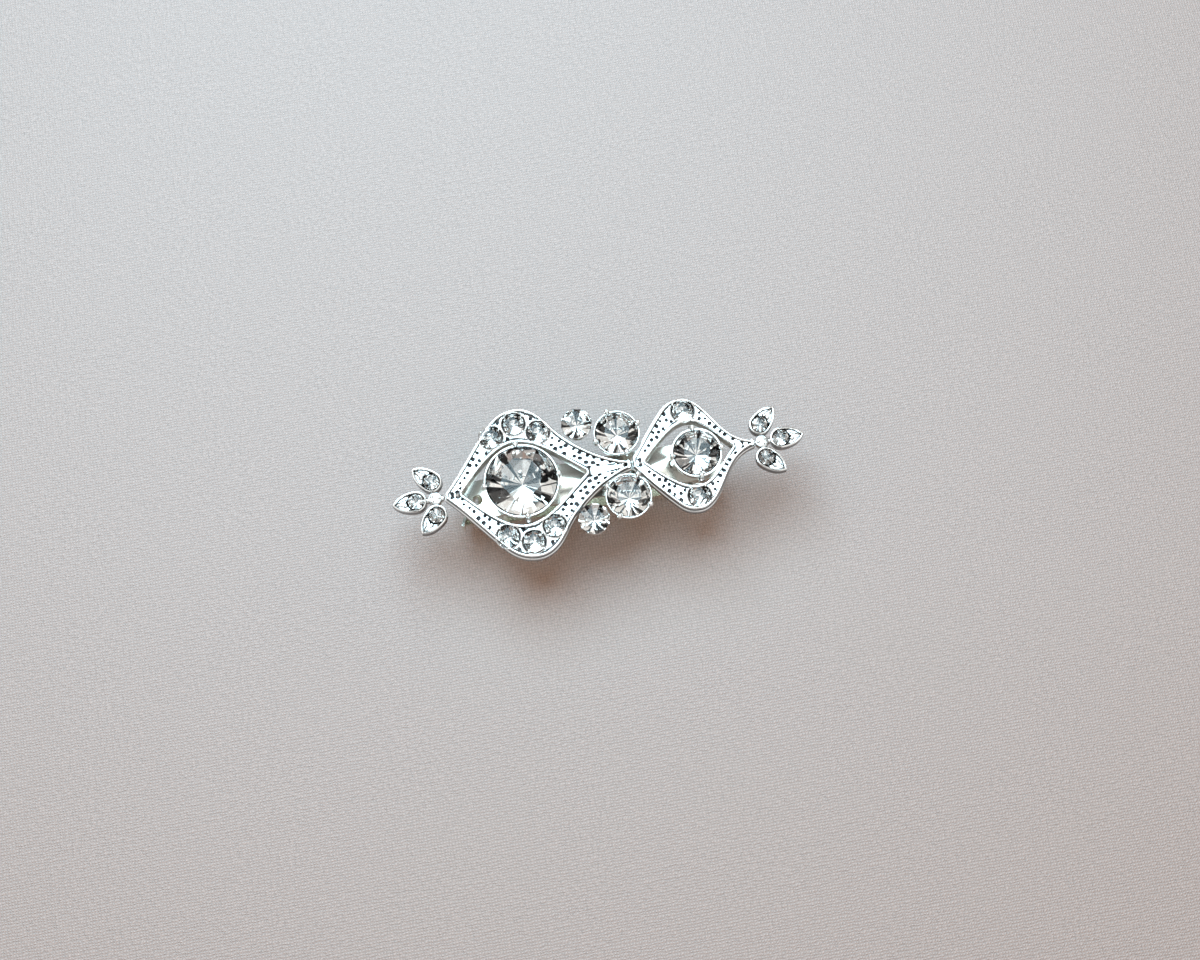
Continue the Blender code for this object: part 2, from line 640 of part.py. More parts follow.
def make_tension_band():
    roots = np.linspace(BAND_ROOT_X, BAND_BEND_X, 4)[:-1]
    root = np.stack([roots, bar_underside(roots) - BAND_GAP - BAND_THICK / 2], axis=1)
    line = np.concatenate([root, path(BAND_PATH, CURVE_STEPS)])
    band = strip("tension_band", line, np.full(len(line), BAND_HALF_WIDTH), BAND_THICK, STEEL)
    ring = circle((BAND_RIVET_X, 0.0), RIVET_HOLE + 0.05 * MM, 24)
    cut(band, prism("tension_band_hole", ring, BAR_UNDERSIDE - 2 * MM, BAR_UNDERSIDE))
    return band


def make_catch_base():
    flat = np.linspace(CATCH_RIGHT, CATCH_BEND_X, 5)
    level = bar_underside(flat) - JOIN_GAP - CATCH_THICK / 2
    plate = np.stack([flat, level], axis=1)
    radius = CATCH_BEND_X - CATCH_WALL_X
    centre = (CATCH_BEND_X, plate[-1, 1] - radius)
    turns = np.linspace(CATCH_BEND_START, math.pi / 2, 6)
    bend = [(centre[0] - radius * math.sin(a), centre[1] + radius * math.cos(a)) for a in turns]
    wall = [(CATCH_WALL_X, CATCH_BOTTOM)]
    line = np.concatenate([plate, bend, wall])
    base = strip("catch_base", line, np.full(len(line), CATCH_HALF_WIDTH), CATCH_THICK, STEEL)
    hole = circle((CATCH_RIVET_X, 0.0), RIVET_HOLE, 24)
    cut(base, prism("catch_base_hole", hole, 6 * MM, 8 * MM))
    return base


def make_catch_wing(name, side):
    line = path(WING_PATH, CURVE_STEPS)
    normals = path_normals(line)
    sections = []
    for (x, y), (nx, ny) in zip(line, normals):
        inner = (x - nx * CATCH_THICK / 2, side * (y - ny * CATCH_THICK / 2))
        outer = (x + nx * CATCH_THICK / 2, side * (y + ny * CATCH_THICK / 2))
        section = [(*inner, CATCH_BOTTOM), (*outer, CATCH_BOTTOM), (*outer, WING_TOP), (*inner, WING_TOP)]
        sections.append(section)
    wing = swept(name, sections, STEEL)
    low, high = sorted((side * BARB_INNER, side * BARB_OUTER))
    top = CATCH_BOTTOM + BARB_OVERLAP
    add(wing, block(f"{name}_barb", (BARB_LEFT, low, BARB_BOTTOM), (BARB_RIGHT, high, top)))
    return wing


def make_rivet(name, x, under):
    top = bar_top(x) + RIVET_HEAD_GAP
    head = RIVET_HEAD_RADIUS
    low = under - RIVET_HEAD_GAP
    shoulder = RIVET_SHOULDER * head
    rise = RIVET_SHOULDER_RISE * RIVET_HEAD
    profile = [(0.0, low - RIVET_HEAD), (shoulder, low - rise), (head, low), (RIVET_RADIUS, low)]
    profile += [(RIVET_RADIUS, top), (head, top), (shoulder, top + rise), (0.0, top + RIVET_HEAD)]
    return turned(name, profile, (x, 0.0), 20, STEEL)


def make_solder_pads():
    low = bar_top(BIG_PLACE[0] + LEFT_PAD_OUTER) + RIB_RISE + JOIN_GAP
    high = BIG_CUP_BOTTOM - JOIN_GAP
    profile = [(LEFT_PAD_INNER, low), (LEFT_PAD_OUTER, low), (LEFT_PAD_OUTER, high), (LEFT_PAD_INNER, high)]
    turned("solder_pad_left", profile, BIG_PLACE, 24, SOLDER)
    low = bar_top(CENTRE_PLACE[0] - RIGHT_PAD_RADIUS) + JOIN_GAP
    high = CENTRE_CUP_BOTTOM - JOIN_GAP
    profile = [(0.0, low), (RIGHT_PAD_RADIUS, low), (RIGHT_PAD_TAPER * RIGHT_PAD_RADIUS, high), (0.0, high)]
    turned("solder_pad_right", profile, CENTRE_PLACE, 24, SOLDER)


def make_cups():
    big = make_cup("big_cup", BIG_PLACE, BIG, BIG_CUP_RADIUS, BIG_CUP_BOTTOM)
    add_side_lugs(big, BIG_PLACE, BIG_CUP_RADIUS - 0.25 * MM, BIG_LUG_END)
    centre = make_cup("centre_cup", CENTRE_PLACE, CENTRE, CENTRE_CUP_RADIUS, CENTRE_CUP_BOTTOM)
    add_side_lugs(centre, CENTRE_PLACE, CENTRE_CUP_RADIUS - 0.25 * MM, CENTRE_LUG_END)
    for word, place, turn in (
        ("back", MEDIUM_BACK_PLACE, MEDIUM_BACK_TURN),
        ("front", MEDIUM_FRONT_PLACE, MEDIUM_FRONT_TURN),
    ):
        make_cup(f"medium_cup_{word}", place, MEDIUM, MEDIUM_CUP_RADIUS, MEDIUM_CUP_BOTTOM, turn)
    for word, place in (("back", SMALL_BACK_PLACE), ("front", SMALL_FRONT_PLACE)):
        make_cup(f"small_cup_{word}", place, SMALL, SMALL_CUP_RADIUS, SMALL_CUP_BOTTOM, prongs=False)


def make_stones():
    make_stone("big_stone", BIG_PLACE, BIG, turn=11.0)
    make_stone("centre_stone", CENTRE_PLACE, CENTRE, turn=11.0)
    make_stone("medium_stone_back", MEDIUM_BACK_PLACE, MEDIUM)
    make_stone("medium_stone_front", MEDIUM_FRONT_PLACE, MEDIUM, turn=10.0)
    make_stone("small_stone_back", SMALL_BACK_PLACE, SMALL, turn=5.0)
    make_stone("small_stone_front", SMALL_FRONT_PLACE, SMALL)
    for number, place in enumerate(LARGE_PAVE):
        make_stone(f"pave_stone_large_back_{number + 1}", place, PAVE, 6)
        make_stone(f"pave_stone_large_front_{number + 1}", mirrored(place), PAVE, 6)
    make_stone("pave_stone_small_back", SMALL_PAVE, PAVE, 6)
    make_stone("pave_stone_small_front", mirrored(SMALL_PAVE), PAVE, 6)
    for name, side in (("left", -1), ("right", 1)):
        for word, place, angle in sprig_leaves(side):
            make_stone(f"sprig_stone_{name}_{word}", place, SPRIG, 6)


def main():
    clear_scene()
    make_top_bar()
    make_clasp_arm()
    make_hinge_pin()
    make_tension_band()
    band_under = bar_underside(BAND_RIVET_X) - BAND_GAP - BAND_THICK
    make_rivet("band_rivet", BAND_RIVET_X, band_under)
    make_catch_base()
    make_rivet("catch_rivet", CATCH_RIVET_X, bar_underside(CATCH_RIVET_X) - JOIN_GAP - CATCH_THICK)
    make_catch_wing("catch_wing_back", 1)
    make_catch_wing("catch_wing_front", -1)
    make_solder_pads()
    make_frame("large_frame", LARGE_OUTER, LARGE_INNER, LARGE_PAVE, LARGE_POST_X)
    make_frame("small_frame", SMALL_OUTER, SMALL_INNER, (SMALL_PAVE,), SMALL_POST_X)
    make_sprig("left_sprig", -1, LARGE_TIP_X)
    make_sprig("right_sprig", 1, SMALL_TIP_X)
    make_cups()
    make_stones()


main()
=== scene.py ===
import math

import bmesh
import bpy
import numpy as np
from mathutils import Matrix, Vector


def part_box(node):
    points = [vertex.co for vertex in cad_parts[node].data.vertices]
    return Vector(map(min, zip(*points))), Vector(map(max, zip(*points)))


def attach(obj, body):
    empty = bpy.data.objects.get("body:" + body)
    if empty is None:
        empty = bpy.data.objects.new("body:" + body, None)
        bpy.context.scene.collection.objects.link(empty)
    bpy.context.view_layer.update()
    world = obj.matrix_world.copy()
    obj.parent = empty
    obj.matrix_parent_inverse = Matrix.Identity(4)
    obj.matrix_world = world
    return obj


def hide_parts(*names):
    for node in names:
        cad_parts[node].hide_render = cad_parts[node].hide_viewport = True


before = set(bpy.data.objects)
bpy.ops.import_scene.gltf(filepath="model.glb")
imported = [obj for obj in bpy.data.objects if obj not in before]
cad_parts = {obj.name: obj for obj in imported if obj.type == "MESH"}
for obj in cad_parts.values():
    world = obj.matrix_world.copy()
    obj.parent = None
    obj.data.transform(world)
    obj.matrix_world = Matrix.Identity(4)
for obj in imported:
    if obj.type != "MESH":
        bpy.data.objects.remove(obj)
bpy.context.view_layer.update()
mm = 0.001
draw = np.random.default_rng(7)  # one seeded source for every small irregularity
# in metres and degrees: merging distance, smallest face, how near the middle plane, smoothing angle
meshLimits = {"doubles": 2e-7, "leastArea": 1e-16, "onMiddle": 1e-8, "sharpAt": 38}


def gridQuads(rows, cols, loopRows=False, loopCols=False):
    # corner numbers of the quads between neighbouring rows and columns
    firstRows = np.arange(rows if loopRows else rows - 1)
    firstCols = np.arange(cols if loopCols else cols - 1)
    i, j = np.meshgrid(firstRows, firstCols, indexing="ij")
    nextI, nextJ = (i + 1) % rows, (j + 1) % cols
    quads = [i * cols + j, nextI * cols + j, nextI * cols + nextJ, i * cols + nextJ]
    return np.stack(quads, axis=-1).reshape(-1, 4)


def shell(points, faces, paintedShade=0.0, material=0):
    # one skin of a piece: points, groups of faces, painted shade from 0 to 1 at each point, material number
    points = np.asarray(points, float).reshape(-1, 3)
    dark = np.zeros(len(points)) + paintedShade
    return {"points": points, "faces": faces, "paintedShade": dark, "material": material}


def lathe(profile, place, count, paintedShade, loop=False):
    # x and y are the place plus radius times cosine and sine of the angle, z is the profile's height
    profile = np.asarray(profile, float)
    angle = np.linspace(0, 2 * math.pi, count, endpoint=False)[:, None]
    x = place[0] + profile[:, 0] * np.cos(angle)
    y = place[1] + profile[:, 0] * np.sin(angle)
    z = np.broadcast_to(profile[:, 1], x.shape)
    dark = np.broadcast_to(np.asarray(paintedShade, float), x.shape).reshape(-1)
    quads = gridQuads(count, len(profile), loopRows=True, loopCols=loop)
    return shell(np.stack([x, y, z], axis=-1), [quads], dark)


ballShade = {"start": 0.35, "darkest": 0.9}  # the lower a point on a grain lies, the darker it is


def ball(place, radius, around, up):
    # half circle from the lowest to the highest point, turned round
    tilt = np.linspace(-math.pi / 2, math.pi / 2, up)
    profile = np.stack([radius * np.cos(tilt), place[2] + radius * np.sin(tilt)], axis=1)
    low = np.clip((place[2] - profile[:, 1]) / radius + ballShade["start"], 0, 1)
    return lathe(profile, place, around, low * ballShade["darkest"])


tubeSkew = (0.0, 0.35, 1.0)  # a direction that no tube follows


def tube(line, radii, around, paintedShade):
    # circles of the given radii, square to the line; a radius of 0 closes the end
    line = np.asarray(line, float)
    ahead = np.gradient(line, axis=0)
    ahead /= np.linalg.norm(ahead, axis=1)[:, None]
    side = np.cross(ahead, tubeSkew)
    side /= np.linalg.norm(side, axis=1)[:, None]
    over = np.cross(side, ahead)
    angle = np.linspace(0, 2 * math.pi, around, endpoint=False)[:, None]
    rings = side[:, None] * np.cos(angle) + over[:, None] * np.sin(angle)
    points = line[:, None] + np.asarray(radii, float)[:, None, None] * rings
    return shell(points, [gridQuads(len(line), around, loopCols=True)], paintedShade)


def makePiece(name, body, nodes, shells, materials, sharpAt=meshLimits["sharpAt"]):
    points = np.concatenate([part["points"] for part in shells])
    faces, slots, start = [], [], 0
    for part in shells:
        for group in part["faces"]:
            faces += (np.asarray(group) + start).tolist()
            slots += [part["material"]] * len(group)
        start += len(part["points"])
    mesh = bpy.data.meshes.new(name)
    mesh.from_pydata(points.tolist(), [], faces)
    mesh.polygons.foreach_set("material_index", slots)
    # painted shade: each point's darkness for crevices, hollows and undersides, read by the metal finish
    dark = mesh.attributes.new("paintedShade", "FLOAT", "POINT")
    dark.data.foreach_set("value", np.concatenate([part["paintedShade"] for part in shells]))
    tidyMesh(mesh)
    if sharpAt:
        smoothMesh(mesh, sharpAt)
    piece = bpy.data.objects.new(name, mesh)
    bpy.context.scene.collection.objects.link(piece)
    for material in materials:
        mesh.materials.append(material)
    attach(piece, body)
    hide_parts(*nodes)
    return piece


def tidyMesh(mesh):
    # merge doubles, drop faces folded flat on the middle plane, then turn the faces outwards
    soft = bmesh.new()
    soft.from_mesh(mesh)
    bmesh.ops.remove_doubles(soft, verts=soft.verts, dist=meshLimits["doubles"])
    flat = [face for face in soft.faces if isFolded(face)]
    bmesh.ops.delete(soft, geom=flat, context="FACES")
    bmesh.ops.recalc_face_normals(soft, faces=soft.faces)
    soft.to_mesh(mesh)
    soft.free()


def isFolded(face):
    onMiddle = all(abs(corner.co.y) < meshLimits["onMiddle"] for corner in face.verts)
    return onMiddle or face.calc_area() < meshLimits["leastArea"]


def smoothMesh(mesh, sharpAt):
    mesh.polygons.foreach_set("use_smooth", [True] * len(mesh.polygons))
    mesh.set_sharp_from_angle(angle=math.radians(sharpAt))


def bezier(points, steps):
    # four corner points weighted by the cubic's shares of t and of 1 - t
    a, b, c, d = (np.array(point, float) for point in points)
    t = np.linspace(0, 1, steps + 1)[:, None]
    return (1 - t) ** 3 * a + 3 * (1 - t) ** 2 * t * b + 3 * (1 - t) * t**2 * c + t**3 * d


def evenly(line, count):
    # the same line with its points at equal distances along it
    line = np.asarray(line, float)
    gone = lengthSoFar(line)
    at = np.linspace(0, gone[-1], count)
    return np.stack([np.interp(at, gone, line[:, k]) for k in range(line.shape[1])], axis=1)


def lengthSoFar(line):
    # distance along the line from its start to each point
    return np.concatenate([[0], np.cumsum(np.linalg.norm(np.diff(line, axis=0), axis=1))])


def joined(curves, steps=60):
    parts = [bezier(curves[0], steps)] + [bezier(points, steps)[1:] for points in curves[1:]]
    return np.concatenate(parts)


def link(tree, start, end):
    tree.links.new(start, end)


def node(tree, kind, **values):
    made = tree.nodes.new(kind)
    for key, value in values.items():
        setattr(made, key, value)
    return made


castNoise = {"fineDetail": 4.0, "broadScale": 260.0, "broadDetail": 3.0, "spread": 0.3}
castInputs = {"Bright": "NodeSocketColor", "ShadeAndTarnish": "NodeSocketColor", "Polish": "NodeSocketFloat",
              "Dull": "NodeSocketFloat", "Grain": "NodeSocketFloat"}
castOutputs = {"Colour": "NodeSocketColor", "Roughness": "NodeSocketFloat", "Height": "NodeSocketFloat"}


def makeCastGroup():
    # darkness is the painted shade of crevices, hollows and undersides stored on the mesh, plus an uneven
    # spread of tone; it mixes bright with the shade-and-tarnish colour, polish with dull
    tree = bpy.data.node_groups.new("castMetalFinish", "ShaderNodeTree")
    for way, sockets in (("INPUT", castInputs), ("OUTPUT", castOutputs)):
        for name, kind in sockets.items():
            tree.interface.new_socket(name, in_out=way, socket_type=kind)
    given = node(tree, "NodeGroupInput")
    out = node(tree, "NodeGroupOutput")
    where = node(tree, "ShaderNodeTexCoord")
    fine = node(tree, "ShaderNodeTexNoise")
    fine.inputs["Detail"].default_value = castNoise["fineDetail"]
    link(tree, where.outputs["Object"], fine.inputs["Vector"])
    link(tree, given.outputs["Grain"], fine.inputs["Scale"])
    broad = node(tree, "ShaderNodeTexNoise")
    broad.inputs["Scale"].default_value = castNoise["broadScale"]
    broad.inputs["Detail"].default_value = castNoise["broadDetail"]
    link(tree, where.outputs["Object"], broad.inputs["Vector"])
    kept = node(tree, "ShaderNodeAttribute", attribute_name="paintedShade")
    spread = node(tree, "ShaderNodeMath", operation="MULTIPLY_ADD")
    spread.inputs[1].default_value = castNoise["spread"]
    spread.inputs[2].default_value = -castNoise["spread"] / 2
    link(tree, broad.outputs["Fac"], spread.inputs[0])
    dark = node(tree, "ShaderNodeMath", operation="ADD", use_clamp=True)
    link(tree, kept.outputs["Fac"], dark.inputs[0])
    link(tree, spread.outputs[0], dark.inputs[1])
    mixes = (("RGBA", "Bright", "ShadeAndTarnish", "Colour"), ("FLOAT", "Polish", "Dull", "Roughness"))
    for kind, clean, worn, result in mixes:
        mix = node(tree, "ShaderNodeMix", data_type=kind)
        link(tree, dark.outputs[0], mix.inputs["Factor"])
        link(tree, given.outputs[clean], mix.inputs["A"])
        link(tree, given.outputs[worn], mix.inputs["B"])
        link(tree, mix.outputs["Result"], out.inputs[result])
    link(tree, fine.outputs["Fac"], out.inputs["Height"])
    return tree


castGroup = makeCastGroup()

# on the silver castings and cups the dark colour paints shade into crevices and undersides; on every metal it
# also takes an uneven spread of tone
silverLook = {"bright": (0.99, 0.975, 0.95, 1), "shadeandtarnish": (0.05, 0.05, 0.055, 1), "polish": 0.12,
              "dull": 0.4, "grain": 5200.0, "bump": 0.22, "depth": 0.00004}
cupLook = {"bright": (0.99, 0.975, 0.95, 1), "shadeandtarnish": (0.08, 0.08, 0.085, 1), "polish": 0.07,
           "dull": 0.3, "grain": 2500.0, "bump": 0.05, "depth": 0.00003}
steelLook = {"bright": (0.9, 0.89, 0.8, 1), "shadeandtarnish": (0.4, 0.37, 0.3, 1), "polish": 0.2,
             "dull": 0.36, "grain": 1500.0, "bump": 0.12, "depth": 0.00003}
solderLook = {"bright": (0.62, 0.6, 0.57, 1), "shadeandtarnish": (0.3, 0.28, 0.26, 1), "polish": 0.35,
              "dull": 0.55, "grain": 1800.0, "bump": 0.5, "depth": 0.00008}


def newMaterial(name):
    material = bpy.data.materials.new(name)
    material.use_nodes = True
    return material, material.node_tree, material.node_tree.nodes["Principled BSDF"]


def addBump(tree, height, strength, depth, shader):
    bump = node(tree, "ShaderNodeBump")
    bump.inputs["Strength"].default_value = strength
    bump.inputs["Distance"].default_value = depth
    link(tree, height, bump.inputs["Height"])
    link(tree, bump.outputs["Normal"], shader.inputs["Normal"])


def metal(name, look):
    material, tree, shader = newMaterial(name)
    shader.inputs["Metallic"].default_value = 1.0
    finish = node(tree, "ShaderNodeGroup", node_tree=castGroup)
    for word in castInputs:
        finish.inputs[word].default_value = look[word.lower()]
    link(tree, finish.outputs["Colour"], shader.inputs["Base Color"])
    link(tree, finish.outputs["Roughness"], shader.inputs["Roughness"])
    addBump(tree, finish.outputs["Height"], look["bump"], look["depth"], shader)
    return material


glassLook = {"ior": 1.4, "scale": 900.0, "low": (0.97, 0.98, 1, 1), "high": (1, 1, 1, 1)}
# dark is the colour of the painted dark reflections on the foil
foilLook = {"roughness": 0.02, "scale": 1200.0, "low": (0.97, 0.94, 0.91, 1), "high": (1, 0.98, 0.95, 1),
            "dark": (0.01, 0.01, 0.012, 1)}


def clouding(tree, look):
    # faint cloudy change between the look's low and high colours
    where = node(tree, "ShaderNodeTexCoord")
    cloud = node(tree, "ShaderNodeTexNoise")
    cloud.inputs["Scale"].default_value = look["scale"]
    link(tree, where.outputs["Object"], cloud.inputs["Vector"])
    mix = node(tree, "ShaderNodeMix", data_type="RGBA")
    mix.inputs["A"].default_value = look["low"]
    mix.inputs["B"].default_value = look["high"]
    link(tree, cloud.outputs["Fac"], mix.inputs["Factor"])
    return mix.outputs["Result"]


def crystalGlass():
    material, tree, shader = newMaterial("crystalGlass")
    shader.inputs["Roughness"].default_value = 0.0
    shader.inputs["IOR"].default_value = glassLook["ior"]
    shader.inputs["Transmission Weight"].default_value = 1.0
    link(tree, clouding(tree, glassLook), shader.inputs["Base Color"])
    return material


def silverFoil():
    # mirror foil on the stones' backs, each facet as bright as its shade value: painted dark reflections on a
    # plain foil
    material, tree, shader = newMaterial("silverFoil")
    shader.inputs["Metallic"].default_value = 1.0
    shader.inputs["Roughness"].default_value = foilLook["roughness"]
    cloudy = clouding(tree, foilLook)
    kept = node(tree, "ShaderNodeAttribute", attribute_name="shade")
    facet = node(tree, "ShaderNodeMix", data_type="RGBA")
    facet.inputs["A"].default_value = foilLook["dark"]
    link(tree, kept.outputs["Fac"], facet.inputs["Factor"])
    link(tree, cloudy, facet.inputs["B"])
    link(tree, facet.outputs["Result"], shader.inputs["Base Color"])
    return material


silver = metal("silverCasting", silverLook)
cupSilver = metal("polishedCup", cupLook)
steel = metal("barretteSteel", steelLook)
solder = metal("dullSolder", solderLook)
glass = crystalGlass()
foil = silverFoil()
print("finishes made")


frameTop = 12.9  # heights and places from here on are in millimetres
girdleHalf = 0.1
cutShape = {"table": 0.6, "ring": 0.82, "sliver": 0.5}  # shares of the radius, and of a wedge's edge
# dark: share of the foil's slivers painted dark as reflections, and how dim the first dull wedge is painted
bigStone = {"radius": 5.4, "crown": 1.75, "back": 4.1, "girdle": frameTop + 0.25, "dark": 0.18}
centreStone = {"radius": 3.5, "crown": 1.2, "back": 2.75, "girdle": frameTop - 0.3, "dark": 0.24}
mediumStone = {"radius": 3.25, "crown": 1.15, "back": 2.6, "girdle": frameTop - 0.25, "dark": 0.22}
smallStone = {"radius": 2.4, "crown": 0.85, "back": 1.9, "girdle": frameTop - 0.15, "dark": 0.26}
paveStone = {"radius": 1.65, "crown": 0.55, "back": 1.1, "girdle": frameTop - 0.3, "dark": 0.14}
sprigStone = {"radius": 1.2, "crown": 0.42, "back": 0.85, "girdle": frameTop - 0.35, "dark": 0.14}

bigPlace, centrePlace = (-11.9, 0.22), (15.1, 0.0)
mediumBack, mediumFront = (3.65, 5.25), (3.65, -4.9)
smallBack, smallFront = (-2.15, 7.75), (-2.15, -7.5)
largePave = ((-15.35, 7.9), (-11.65, 9.4), (-8.15, 7.5))
smallPave = ((14.2, 6.85),)

# painted reflections as foil brightness: of most wedges, of three duller ones and where they lie in
# sixteenths, of the dark slivers
foilShades = {"bright": (0.85, 1.0), "dull": (0.5, 0.5, 0.35), "dullAt": (0, 5, 9), "fall": 1.5,
              "black": (0.0, 0.08)}


def mirrored(place):
    return (place[0], -place[1])


def ring(place, radius, height, count, turn):
    # points at equal angles round a circle, the first at the angle turn
    angle = turn + np.linspace(0, 2 * math.pi, count, endpoint=False)
    x = place[0] + radius * np.cos(angle)
    y = place[1] + radius * np.sin(angle)
    return np.stack([x, y, np.full(count, height)], axis=1)


def cutStone(name, nodeName, place, stone, mains=8, turn=0.0):
    # table, stars and kites down to a thin girdle; the inner ring is as high as keeps the kites flat:
    # crown height times (1 - ring share times the cosine of half a facet) over (1 - table share)
    # behind the girdle, two wedges to each kite meet at the point, each with a sliver beside it
    n = mains
    turn = math.radians(turn)
    step = math.pi / n
    radius = stone["radius"]
    top, low = stone["girdle"] + girdleHalf, stone["girdle"] - girdleHalf
    crown = stone["crown"] - girdleHalf
    ringUp = crown * (1 - cutShape["ring"] * math.cos(step)) / (1 - cutShape["table"])
    edge = ring(place, radius, low, 2 * n, turn)
    between = edge + cutShape["sliver"] * (np.roll(edge, -1, axis=0) - edge)
    points = np.concatenate([
        ring(place, radius * cutShape["table"], top + crown, n, turn),
        ring(place, radius * cutShape["ring"], top + ringUp, n, turn + step),
        ring(place, radius, top, 2 * n, turn),
        np.stack([edge, between], axis=1).reshape(-1, 3),
        [(place[0], place[1], low - stone["back"])]]) * mm
    i, k, m = np.arange(n), np.arange(2 * n), np.arange(4 * n)
    table, inner, upper, lower, tip = 0, n, 2 * n, 4 * n, 8 * n  # first point of each ring
    nextTable, lastInner = table + (i + 1) % n, inner + (i - 1) % n
    nextUpper = (k + 1) % (2 * n)
    front = [
        i[None] + table,
        np.stack([table + i, inner + i, nextTable], 1),
        np.stack([table + i, lastInner, upper + 2 * i, inner + i], 1),
        np.stack([inner + i, upper + 2 * i, upper + 2 * i + 1], 1),
        np.stack([inner + i, upper + 2 * i + 1, upper + (2 * i + 2) % (2 * n)], 1),
        np.stack([upper + k, lower + 2 * k, lower + 2 * k + 1, lower + 2 * nextUpper, upper + nextUpper], 1)]
    back = [np.stack([lower + (m + 1) % (4 * n), lower + m, np.full(4 * n, tip)], 1)]
    shells = [shell(points, front, material=0), shell(points, back, material=1)]
    piece = makePiece(name, "barrette", [nodeName], shells, [glass, foil], sharpAt=0)
    # the foil's facets get painted reflections, a brightness each from wedgeShades
    shades = np.ones(len(piece.data.polygons))
    shades[-4 * n:] = wedgeShades(2 * n, stone["dark"])
    shade = piece.data.attributes.new("shade", "FLOAT", "FACE")
    shade.data.foreach_set("value", shades)


def wedgeShades(count, darkShare):
    # painted reflection: brightness of each wedge of foil, and of the sliver after it: a dark one, or like
    # its wedge
    wedges = draw.uniform(*foilShades["bright"], count)
    start = draw.integers(count)
    first, second, third = foilShades["dull"]
    dullAt = start + np.array(foilShades["dullAt"]) * count // 16
    wedges[dullAt % count] = (first - foilShades["fall"] * darkShare, second, third)
    isDark = draw.random(count) < darkShare
    slivers = np.where(isDark, draw.uniform(*foilShades["black"], count), wedges)
    return np.stack([wedges, slivers], axis=1).reshape(-1)


cutStone("bigStone", "big_stone", bigPlace, bigStone, turn=11)
cutStone("centreStone", "centre_stone", centrePlace, centreStone, turn=11)
cutStone("mediumStoneBack", "medium_stone_back", mediumBack, mediumStone)
cutStone("mediumStoneFront", "medium_stone_front", mediumFront, mediumStone, turn=10)
cutStone("smallStoneBack", "small_stone_back", smallBack, smallStone, 6, turn=5)
cutStone("smallStoneFront", "small_stone_front", smallFront, smallStone, 6)
for number, place in enumerate(largePave, 1):
    cutStone(f"largePaveBack{number}", f"pave_stone_large_back_{number}", place, paveStone, 6)
    cutStone(f"largePaveFront{number}", f"pave_stone_large_front_{number}", mirrored(place), paveStone, 6)
cutStone("smallPaveBack", "pave_stone_small_back", smallPave[0], paveStone, 6)
cutStone("smallPaveFront", "pave_stone_small_front", mirrored(smallPave[0]), paveStone, 6)

sprigPlaces = {"middle": 28.2, "sideX": 25.45, "sideY": 2.65, "lean": 44.0, "hub": 25.3}


def sprigLeaves(side):
    # place and heading of the three leaves; the left sprig is the right one mirrored
    lean = math.radians(sprigPlaces["lean"])
    lean = lean if side > 0 else math.pi - lean
    sideX, sideY = side * sprigPlaces["sideX"], sprigPlaces["sideY"]
    return (("middle", (side * sprigPlaces["middle"], 0.0), 0.0 if side > 0 else math.pi),
            ("back", (sideX, sideY), lean),
            ("front", (sideX, -sideY), -lean))


for sideName, side in (("left", -1), ("right", 1)):
    for word, place, angle in sprigLeaves(side):
        pieceName = f"{sideName}Sprig{word.title()}Stone"
        cutStone(pieceName, f"sprig_stone_{sideName}_{word}", place, sprigStone, 6)
print("stones cut")


cupShape = {"play": 0.06, "clear": 0.12, "wall": 1.1, "groove": 0.1, "skirt": 1.0, "chamfer": 0.06,
            "around": 96}
beadShape = {"radius": 0.45, "rise": 0.55, "outset": 0.32}
# a prong's height over the girdle, how far out it stands from the cup's ring, and its radius
prongShape = np.array([(-1.6, 0, 0), (-1.48, 0, 0.2), (-1.2, 0, 0.3), (-0.4, 0, 0.3), (0, 0.02, 0.3),
                       (0.3, 0, 0.27), (0.5, -0.08, 0.2), (0.58, -0.1, 0)])
lugShape = {"height": 11.8, "radius": 0.5, "inside": 0.25, "taper": 0.1}


